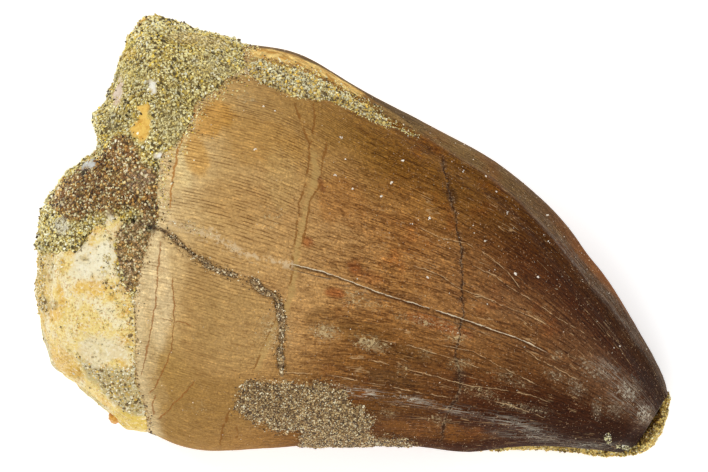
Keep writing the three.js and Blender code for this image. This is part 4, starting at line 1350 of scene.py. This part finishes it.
def enamel_lines(paint, colour, flow, place, speck, mottle):
    """The enamel's colour with its vein, cracks, margin lines and hairlines, with
    painted shadows beside the long crack and the hairlines, and how much the lines cut the surface."""
    wander = paint.math("SUBTRACT", paint.noise(1100.0, 4.0, 0.7), 0.5)
    breaks = paint.noise(620.0, 3.0, 0.6)
    thickness = paint.span(paint.noise(900.0), 0.3, 0.7, 0.45, 1.6)

    def line(name, half_width, wobble, gaps=0.0, aside=0.0):
        """How strongly a line shows at each place, or a copy of it set aside."""
        field = paint.node("SeparateXYZ", {0: paint.attribute(name, "Vector")}).outputs
        away = paint.math("MULTIPLY_ADD", wander, wobble, paint.math("ADD", field[0], aside))
        away = paint.math("DIVIDE", paint.math("ABSOLUTE", away), thickness)
        shown = paint.times(paint.step(away, half_width, half_width * 0.3), field[1])
        return paint.times(shown, paint.step(breaks, gaps - 0.06, gaps + 0.06)) if gaps else shown

    patchy = paint.span(paint.along(flow, 4.0, 0.5, 3.0), 0.35, 0.6, 0.35, 0.75)
    vein = paint.times(line("vein", 0.5, 0.8), patchy)
    ochre = paint.most(line("crack_left", 0.15, 0.8, 0.42), line("crack_right", 0.14, 0.8, 0.44))
    dark = paint.most(line("crack_dark", 0.12, 0.9, 0.42), line("back_cracks", 0.15, 0.9, 0.4))
    crushed = line("crack_dark", 0.27, 1.6, 0.36)
    bits = paint.times(crushed, paint.step(speck, 0.54, 0.61))
    margins = paint.most(line("margin_left", 0.10, 0.6, 0.36), line("margin_right", 0.09, 0.6, 0.36))
    band = line("margin_upper", 0.15, 0.8, 0.25)
    shadow = line("crack_long", 0.15, 0.4, 0.36, 0.12)
    pale = line("crack_long", 0.05, 0.3, 0.42)
    crumbs = paint.times(line("smear", 0.4, 1.0), paint.step(mottle, 0.42, 0.54))
    hairs = paint.most(line("hair_even", 0.038, 0.4, 0.46), line("hair_odd", 0.038, 0.4, 0.46),
                       line("back_hair", 0.07, 0.4, 0.4))
    # Painted shadow: a dark line set a little aside from each hairline.
    painted_hair_shadow = paint.most(line("hair_even", 0.07, 0.35, 0.4, 0.1), line("hair_odd", 0.07, 0.35, 0.4, 0.1))
    threads = paint.step(paint.ridge(paint.along(flow, 0.6, 0.07)), 0.008, 0.002)
    threads = paint.times(threads, paint.step(place, 0.3, 0.42))
    threads = paint.times(threads, paint.step(breaks, 0.5, 0.58))
    for shown, strength, ink in (
            (vein, 1.0, (188, 154, 94)), (band, 0.85, (178, 118, 52)), (margins, 0.75, (158, 98, 44)),
            (ochre, 0.75, (134, 84, 32)), (shadow, 0.75, (62, 34, 16)), (crushed, 0.6, (82, 52, 30)),
            (dark, 0.8, (52, 31, 18)), (bits, 0.5, (190, 158, 120)), (painted_hair_shadow, 0.5, (66, 40, 18)),
            (threads, 0.5, (206, 168, 118)), (hairs, 0.75, (216, 180, 132)),
            (crumbs, 0.65, (222, 196, 154)), (pale, 0.85, (240, 222, 188))):
        colour = paint.mix(paint.times(shown, strength), colour, linear(*ink))
    return colour, paint.most(paint.times(ochre, 0.7), dark, margins, shadow)


def enamel_dust(paint, colour, flow, place):
    """The enamel's colour with flaky dust and painted highlights, pale streaks that
    stand in for reflections of the gloss, and how dusty it is."""
    dust = paint.attribute("dust")
    flake = paint.math("MULTIPLY_ADD", dust, 0.11, paint.noise(2900.0, 4.0, 0.7))
    powder = paint.math("MULTIPLY_ADD", dust, 0.12, paint.along(flow, 5.0, 2.0, 4.0))
    lace = paint.step(paint.ridge(paint.noise(1700.0, 4.0, 0.7)), 0.04, 0.01)
    flaky = paint.most(paint.step(flake, 0.62, 0.65), paint.times(paint.step(powder, 0.63, 0.68), 0.5),
                       paint.times(lace, paint.times(dust, 0.5)))
    dusty = paint.times(flaky, paint.step(dust, 0.05, 0.3))
    dust_colour = paint.mix(paint.step(place, 0.55, 0.75), linear(216, 190, 140), linear(188, 170, 140))
    colour = paint.mix(paint.times(dusty, 0.65), colour, dust_colour)
    # Painted highlights: pale streaks where the gloss would reflect the light.
    painted_sheen = paint.step(paint.along(flow, 6.5, 0.5, 3.0), 0.53, 0.59)
    painted_sheen = paint.most(painted_sheen, paint.step(flake, 0.58, 0.63))
    painted_gleam = paint.times(painted_sheen, paint.attribute("painted_gleam"))
    return paint.mix(paint.times(painted_gleam, 0.75), colour, linear(204, 196, 176)), dusty


def enamel_material():
    """Glossy brown enamel with fine striae, stains, cracks, hairlines and dust."""
    paint = Paint("enamel")
    flow = paint.attribute("flow", "Vector")
    place = paint.attribute("place")
    lines = striae(paint, flow, place)
    fleck = paint.along(flow, 3.0, 0.9, 3.0)
    speck = paint.noise(4600.0, 3.0, 0.7)
    mottle = paint.noise(2400.0, 3.0, 0.65)
    colour = enamel_pattern(paint, flow, place, lines, fleck, speck, mottle)
    colour, cut = enamel_lines(paint, colour, flow, place, speck, mottle)
    colour, dusty = enamel_dust(paint, colour, flow, place)
    height = paint.math("MULTIPLY_ADD", mottle, 0.4, paint.times(lines, -0.5))
    height = paint.math("MULTIPLY_ADD", cut, -1.4, height)
    height = paint.math("MULTIPLY_ADD", dusty, 0.8, height)
    matt = paint.math("MULTIPLY_ADD", dusty, 0.3, paint.times(cut, 0.3))
    matt = paint.math("MULTIPLY_ADD", paint.attribute("steep"), 0.4, matt)
    roughness = paint.math("ADD", matt, paint.span(fleck, 0.3, 0.7, 0.44, 0.3))
    return paint.finish(colour, roughness, height, 0.03, **{"Specular IOR Level": 0.06})


# What fine grit multiplies the colour of the sand by.
GRIT_SHADE = linear(190, 180, 160)


def grainy_material(name, grain, dark, pale):
    """Packed sand with grains of a size in millimetres, painted shade in the gaps
    between them, and bare fragments."""
    paint = Paint(name)
    tint = paint.attribute("tint", "Color")
    bare = paint.attribute("bare")
    per_metre = 1.0 / (grain * MM)
    gap = paint.cells(per_metre)
    lightness = paint.node("SeparateColor", {0: paint.cells(per_metre, "Color")}).outputs[0]
    fleck = paint.noise(5200.0, 2.0, 0.6)
    cloud = paint.noise(1500.0, 4.0, 0.65)
    colour = paint.mix(paint.step(lightness, 0.55, 0.95), tint, pale)
    colour = paint.mix(paint.times(paint.step(lightness, 0.45, 0.05), 0.7), colour, dark)
    # Painted shade: the gaps between the grains are darkened.
    colour = paint.shade(paint.step(gap, 0.35, 0.75), colour, linear(154, 138, 100))
    colour = paint.shade(paint.times(paint.step(fleck, 0.5, 0.75), 0.5), colour, GRIT_SHADE)
    chip = paint.shade(paint.step(cloud, 0.45, 0.7), tint, linear(226, 206, 170))
    colour = paint.mix(bare, colour, chip)
    packed = paint.times(paint.math("SUBTRACT", 1.0, gap), paint.math("SUBTRACT", 1.0, bare))
    height = paint.math("MULTIPLY_ADD", fleck, 0.5, packed)
    return paint.finish(colour, paint.span(fleck, 0.3, 0.7, 0.85, 0.65), height, 0.1)


def grain_material(name, roughness):
    """Single grains: clear to cloudy quartz and phosphate, each its own colour."""
    paint = Paint(name)
    tint = paint.attribute("tint", "Color")
    cloud = paint.noise(6000.0, 2.0, 0.6)
    colour = paint.shade(paint.times(paint.step(cloud, 0.4, 0.75), 0.4), tint, GRIT_SHADE)
    return paint.finish(colour, paint.span(cloud, 0.3, 0.7, roughness + 0.1, roughness - 0.1), cloud, 0.03)


def bone_material():
    """Cream fossil bone with dense fine specks of white, yellow and orange."""
    paint = Paint("bone")
    tint = paint.attribute("tint", "Color")
    flecks = paint.attribute("flecks")
    fine = paint.noise(4200.0, 3.0, 0.7)
    other = paint.noise(3100.0, 4.0, 0.75)
    patchy = paint.noise(700.0, 4.0, 0.65)
    specks = paint.times(paint.step(fine, 0.53, 0.6), paint.span(patchy, 0.35, 0.6, 0.35, 1.0))
    colour = paint.mix(paint.times(paint.times(specks, flecks), 0.85), tint, linear(200, 134, 40))
    colour = paint.mix(paint.times(paint.step(other, 0.53, 0.62), 0.6), colour, linear(254, 247, 224))
    holes = paint.times(paint.step(other, 0.42, 0.35), paint.span(patchy, 0.42, 0.58, 0.15, 1.0))
    colour = paint.mix(paint.times(holes, 0.8), colour, linear(122, 90, 40))
    height = paint.math("SUBTRACT", fine, paint.times(holes, 0.8))
    return paint.finish(colour, paint.span(patchy, 0.3, 0.7, 0.85, 0.65), height, 0.08)


def chip_material():
    """The orange chip, with cloudier and darker places."""
    paint = Paint("orange_chip")
    cloud = paint.noise(1300.0, 4.0, 0.65)
    fine = paint.noise(5000.0, 2.0, 0.6)
    shown = paint.mix(paint.step(cloud, 0.4, 0.65), linear(206, 134, 26), linear(232, 174, 70))
    shown = paint.shade(paint.times(paint.step(fine, 0.5, 0.75), 0.5), shown, linear(200, 170, 130))
    return paint.finish(shown, paint.span(fine, 0.3, 0.7, 0.5, 0.35), fine, 0.05)


# ---- Floor, light and camera ------------------------------------------------

FRAME_WIDTH = 70.8      # millimetres across the picture
VIEW_HEIGHT = 400.0     # height of the camera over the floor
FLOOR_HALF = 900.0


def plain_floor():
    """A matt white floor."""
    h = FLOOR_HALF
    floor = make_mesh("floor", [[-h, -h, 0], [h, -h, 0], [h, h, 0], [-h, h, 0]], [[0, 1, 2, 3]])
    paint = Paint("floor_white")
    speck = paint.noise(300.0)
    colour = paint.mix(paint.times(speck, 0.02), linear(250, 250, 250), linear(236, 236, 236))
    shine = {"Emission Color": (1.0, 1.0, 1.0, 1.0), "Emission Strength": 0.45}
    floor.data.materials.append(paint.finish(colour, 0.9, speck, 0.01, **shine))


def area_light(name, place, size, watts):
    """A soft box that looks at the origin."""
    light = bpy.data.lights.new(name, "AREA")
    light.shape = "RECTANGLE"
    light.size = size[0] * MM
    light.size_y = size[1] * MM
    light.energy = watts
    lamp = bpy.data.objects.new(name, light)
    lamp.location = Vector(place) * MM
    lamp.rotation_euler = (-Vector(place)).to_track_quat("-Z", "Y").to_euler()
    bpy.context.scene.collection.objects.link(lamp)


def soft_light():
    """A white room with three soft boxes, the brightest at the upper left."""
    world = bpy.data.worlds.new("studio")
    bpy.context.scene.world = world
    world.use_nodes = True
    background = world.node_tree.nodes["Background"]
    background.inputs["Color"].default_value = (1.0, 1.0, 1.0, 1.0)
    background.inputs["Strength"].default_value = 0.4
    area_light("softbox_upper_left", (-260, 220, 330), (260, 260), 1.0)
    area_light("softbox_right", (330, -40, 240), (200, 240), 0.4)
    area_light("softbox_lower", (20, -330, 220), (280, 160), 0.5)


def camera():
    """The camera looks straight down on the front face."""
    lens = bpy.data.cameras.new("camera")
    lens.type = "ORTHO"
    lens.ortho_scale = FRAME_WIDTH * MM
    lens.clip_start = 0.01
    lens.clip_end = 5.0
    eye = bpy.data.objects.new("camera", lens)
    eye.location = (0.0, 0.0, VIEW_HEIGHT * MM)
    bpy.context.scene.collection.objects.link(eye)
    bpy.context.scene.camera = eye


# ---- The specimen -----------------------------------------------------------


def place_piece(obj, material, node=None):
    """Gives a piece its material and its place in the frame."""
    obj.data.materials.append(material)
    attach(obj, "root")
    if node:
        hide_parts(node)


def clear_of_floor(spots, outward):
    """The scattered spots whose grains don't reach the floor."""
    high = spots[:, 2] > FLOOR_CLEARANCE
    return spots[high], outward[high]


def over_hole(points):
    """Whether each point lies over a hole in the stone."""
    return np.any([np.hypot(points[:, 0] - x, points[:, 1] - y) < reach for x, y, reach in HOLES], axis=0)


def zone_colours(points):
    """Colours for the sandstone's grains, from the palette of their zone."""
    count = len(points)
    brown, grey = stone_zones(points)
    draw = RNG.random((2, count))
    colours = pick_colours(count, OLIVE_SAND)
    colours = np.where((draw[0] < brown)[:, None], pick_colours(count, BROWN_SAND), colours)
    colours = np.where((draw[1] < grey)[:, None], pick_colours(count, GREY_SAND), colours)
    return stained(blotched(colours, points), swayed(points), STONE_STAINS, 101)


def wedge_colours(points):
    """Colours for the grains of the wedge: golden along its lower edge."""
    depth = inside_distance(points, SPLIT_SAND)
    lower = path_distance(points, SPLIT_LOWER_EDGE)[0]
    golden = (smooth(1.0, 0.4, np.abs(lower)) > RNG.random(len(points))) | (depth < -0.1)
    return np.where(golden[:, None], pick_colours(len(points), GOLD_SAND),
                    pick_colours(len(points), PALE_SAND))


def add_grains(name, spots, outward, size, colours, largest=LARGEST_GRAIN, coarse=True):
    """Grains at scattered spots, with colours from a palette or a function."""
    sizes = grain_sizes(len(spots), size, largest)
    tints = colours(spots) if callable(colours) else pick_colours(len(spots), colours)
    place_piece(grain_mesh(name, spots, outward, sizes, tints, coarse), rough_grain)


def stone_grains(name, chosen, spread, size, coarse):
    """Grains on the chosen faces of the sandstone: few on its fragments, none
    over its holes."""
    spots, outward = clear_of_floor(*scatter(stone_corners[chosen], stone_outward[chosen], *spread))
    on_chip = chips(spots, np.zeros((len(spots), 3)))[1] > RNG.uniform(0.2, 1.1, len(spots))
    kept = ~(on_chip | over_hole(spots))
    add_grains(name, spots[kept], outward[kept], size, zone_colours, coarse=coarse)


def bone_grains():
    """Grains on the bone: in its sandy lens, along its seam with the enamel, at
    its left edge, where the sandstone laps over it, and a few loose ones."""
    upper = bone_outward[:, 2] > 0.0
    spots, outward = scatter(bone_corners[upper], bone_outward[upper], *BONE_SCATTER)
    sandy = inside_distance(spots, SANDY_LENS) + 0.6 * rough(spots, 0.8, 171)
    seam = 0.3 - np.abs(path_distance(spots, ENAMEL_SEAM)[0]) + 0.3 * rough(spots, 0.8, 175)
    edge = smooth(-29.8, -31.4, spots[:, 0]) * smooth(-9.0, -6.0, spots[:, 1])
    edge += 0.7 * rough(spots, 2.4, 181) - 0.52
    lap = nearness(spots, outward, stone_corners[:, 0], 3.0) + 0.9 * rough(spots, 2.2, 185)
    lap -= 0.55 + 0.35 * smooth(14.0, 18.0, spots[:, 2])
    loose = LOOSE_SHARE - RNG.random(len(spots))
    kept = (np.maximum.reduce([sandy, seam, edge, lap, loose]) > 0) & (spots[:, 2] > FLOOR_CLEARANCE)
    add_grains("root_bone_grains", spots[kept], outward[kept], 0.2, BONE_SAND)


def sand_piece(name, inside, window, top, node, material, size, colours, tint):
    """A layer of sand on the enamel and the loose grains on it."""
    layer, corners, outward = sand_layer(name, inside, window, top)
    set_attribute(layer, "tint", np.tile(tint, (len(layer.data.vertices), 1)))
    place_piece(layer, material, node)
    spots, normals = scatter(corners, outward, size, MOST_LAYER_GRAINS)
    add_grains(name + "_grains", spots, normals, size, colours)


def crust_fill(points):
    """How far inside the crust each point is. It frays out round the lower edge."""
    fray = smooth(9.5, 7.0, points[:, 2]) * (2.2 * rough(points, 2.6, 203) - 0.9)
    return inside_distance(points, CRUST) + 0.35 * rough(points, 0.9, 201) + fray


def crack_fill(points):
    """How far inside the sand of the crack each point is. It widens into blots."""
    width = 0.28 + 0.45 * rough(points, 1.1, 211) + ovals(points, CRACK_BLOTS).sum(axis=0)
    return width - np.abs(path_distance(points, SAND_CRACK)[0])


def specks(name, chance, size, colours, slot):
    """Grains that stick to the front of the enamel, each place with its chance."""
    front = enamel_outward[:, 2] > 0.05
    spots, outward = scatter(enamel_corners[front], enamel_outward[front], *SPECK_SCATTER)
    kept = chance(spots) > RNG.random(len(spots))
    add_grains(name, spots[kept], outward[kept], size, colours, LARGEST_SPECK)


def spill_chance(points):
    """Sand that has spilled from the patches around onto the enamel."""
    margin = np.abs(path_distance(points, BASE_MARGIN)[0])
    wide = 0.25 + 0.7 * smooth(-2.0, 4.0, points[:, 1]) + 0.35 * rough(points, 1.6, 231)
    chance = 0.9 * np.exp(-(margin / np.maximum(wide, 0.1)) ** 2)
    for away, reach, share in (
            (-inside_distance(points, CRUST), 0.3, 0.5),
            (np.abs(path_distance(points, SAND_CRACK)[0]) - 0.35, 0.3, 0.5),
            (np.abs(path_distance(points, PALE_SMEAR)[0]) - 0.15, 0.25, 0.3),
            (-inside_distance(points, SPLIT_SAND), 0.2, 0.7)):
        ragged = np.maximum(reach * (1.0 + rough(points, 1.1, 235)), 0.05)
        chance = np.maximum(chance, share * np.exp(-(np.maximum(away, 0.0) / ragged) ** 2))
    return np.where(over_hole(points), 0.0, chance)


def dust_chance(points):
    """Fine pale grains on dusty places, and a few anywhere."""
    upper_right = smooth(0.0, 12.0, points[:, 0]) * smooth(-12.0, 0.0, points[:, 1])
    return 0.12 * dust_amount(points, 1.0) ** 2 + 0.006 + 0.02 * upper_right


def white_grain_chance(points):
    """The single white grains."""
    away = [np.hypot(points[:, 0] - x, points[:, 1] - y) for x, y in WHITE_GRAINS]
    return (np.min(away, axis=0) < WHITE_GRAIN_REACH).astype(float)


def flake_chance(points):
    """The grains of the two pale flakes by the tip."""
    inside = np.max([patch(points, *flake) for flake in FLAKES], axis=0) + 0.2 * rough(points, 0.6, 241)
    return smooth(0.35, 0.5, inside)


def spill_colours(points):
    """Olive grains by the sandstone, brown ones elsewhere."""
    olive = smooth(-1.0, 4.0, points[:, 1]) > RNG.random(len(points))
    return np.where(olive[:, None], pick_colours(len(points), OLIVE_SAND),
                    pick_colours(len(points), CRUST_SAND))


enamel = enamel_material()
rough_grain = grain_material("sand_grain", 0.5)
olive_body = grainy_material("olive_sandstone", 0.24, linear(122, 104, 50), linear(250, 242, 190))
pale_body = grainy_material("pale_sand", 0.26, linear(112, 94, 54), linear(244, 234, 196))
brown_body = grainy_material("brown_sand", 0.22, linear(96, 70, 40), linear(226, 202, 150))
golden_body = grainy_material("golden_sand", 0.24, linear(134, 102, 44), linear(244, 222, 136))

crown, enamel_corners, enamel_outward = build_crown()
place_piece(crown, enamel, "tooth_crown")
bone, bone_corners, bone_outward = build_bone()
place_piece(bone, bone_material(), "root_bone")
stone, stone_corners, stone_outward = build_stone(bone_corners[:, 0])
place_piece(stone, olive_body, "base_matrix")

facing_up = stone_outward[:, 2] > 0.25
stone_grains("base_sandstone_grains_front", facing_up, STONE_FRONT_SCATTER, 0.23, coarse=False)
stone_grains("base_sandstone_grains_side", ~facing_up, STONE_SIDE_SCATTER, 0.28, coarse=True)
bone_grains()
place_piece(orange_chip(), chip_material())

near_pad = (enamel_corners[:, 0, 0] > PAD_REGION[0]) & (enamel_corners[:, 0, 1] < PAD_REGION[1])
pad, pad_corners, pad_outward = build_tip_pad(enamel_corners[near_pad, 0])
place_piece(pad, golden_body, "tip_matrix")
below = pad_corners[:, 0, 1] < PAD_GRAINS_END
spots, outward = clear_of_floor(*scatter(pad_corners[below], pad_outward[below], *PAD_SCATTER))
add_grains("tip_sand_grains", spots, outward, 0.2, GOLD_SAND)

sand_piece("ridge_sand",
           lambda p: inside_distance(p, SPLIT_SAND) + 0.15 + 0.3 * rough(p, 0.8, 191),
           ((0.06, 0.5), (0.15, 1.1)),
           lambda p, d: -0.45 + 0.5 * smooth(0.0, 0.8, d) + 0.25 * rough(p, 1.1, 195),
           "ridge_matrix", pale_body, 0.22, wedge_colours, linear(206, 190, 138))
sand_piece("face_crust_sand",
           crust_fill,
           ((0.12, 0.6), (2.0, 3.5)),
           lambda p, d: -0.04 + 0.3 * smooth(0.0, 1.4, d) + 0.16 * rough(p, 0.9, 205),
           "face_crust", brown_body, 0.135, CRUST_SAND, linear(160, 130, 84))
sand_piece("crack_sand_fill",
           crack_fill,
           ((0.06, 0.4), (1.2, 2.3)),
           lambda p, d: -0.28 + 0.42 * smooth(0.0, 0.4, d) + 0.12 * rough(p, 0.6, 215),
           "crack_sand", brown_body, 0.17, CRACK_SAND, linear(150, 120, 80))

specks("enamel_sand_specks", spill_chance, 0.15, spill_colours, "olive_sandstone")
specks("enamel_dust_specks", dust_chance, 0.09, DUST_GRAINS, "pale_sand")
specks("enamel_white_grains", white_grain_chance, 0.19,
       lambda p: np.tile(linear(255, 246, 228), (len(p), 1)), "pale_sand")
specks("tip_flake_grains", flake_chance, 0.18, FLAKE_GRAINS, "pale_sand")

plain_floor()
soft_light()
camera()
bpy.context.scene.view_settings.view_transform = "Standard"
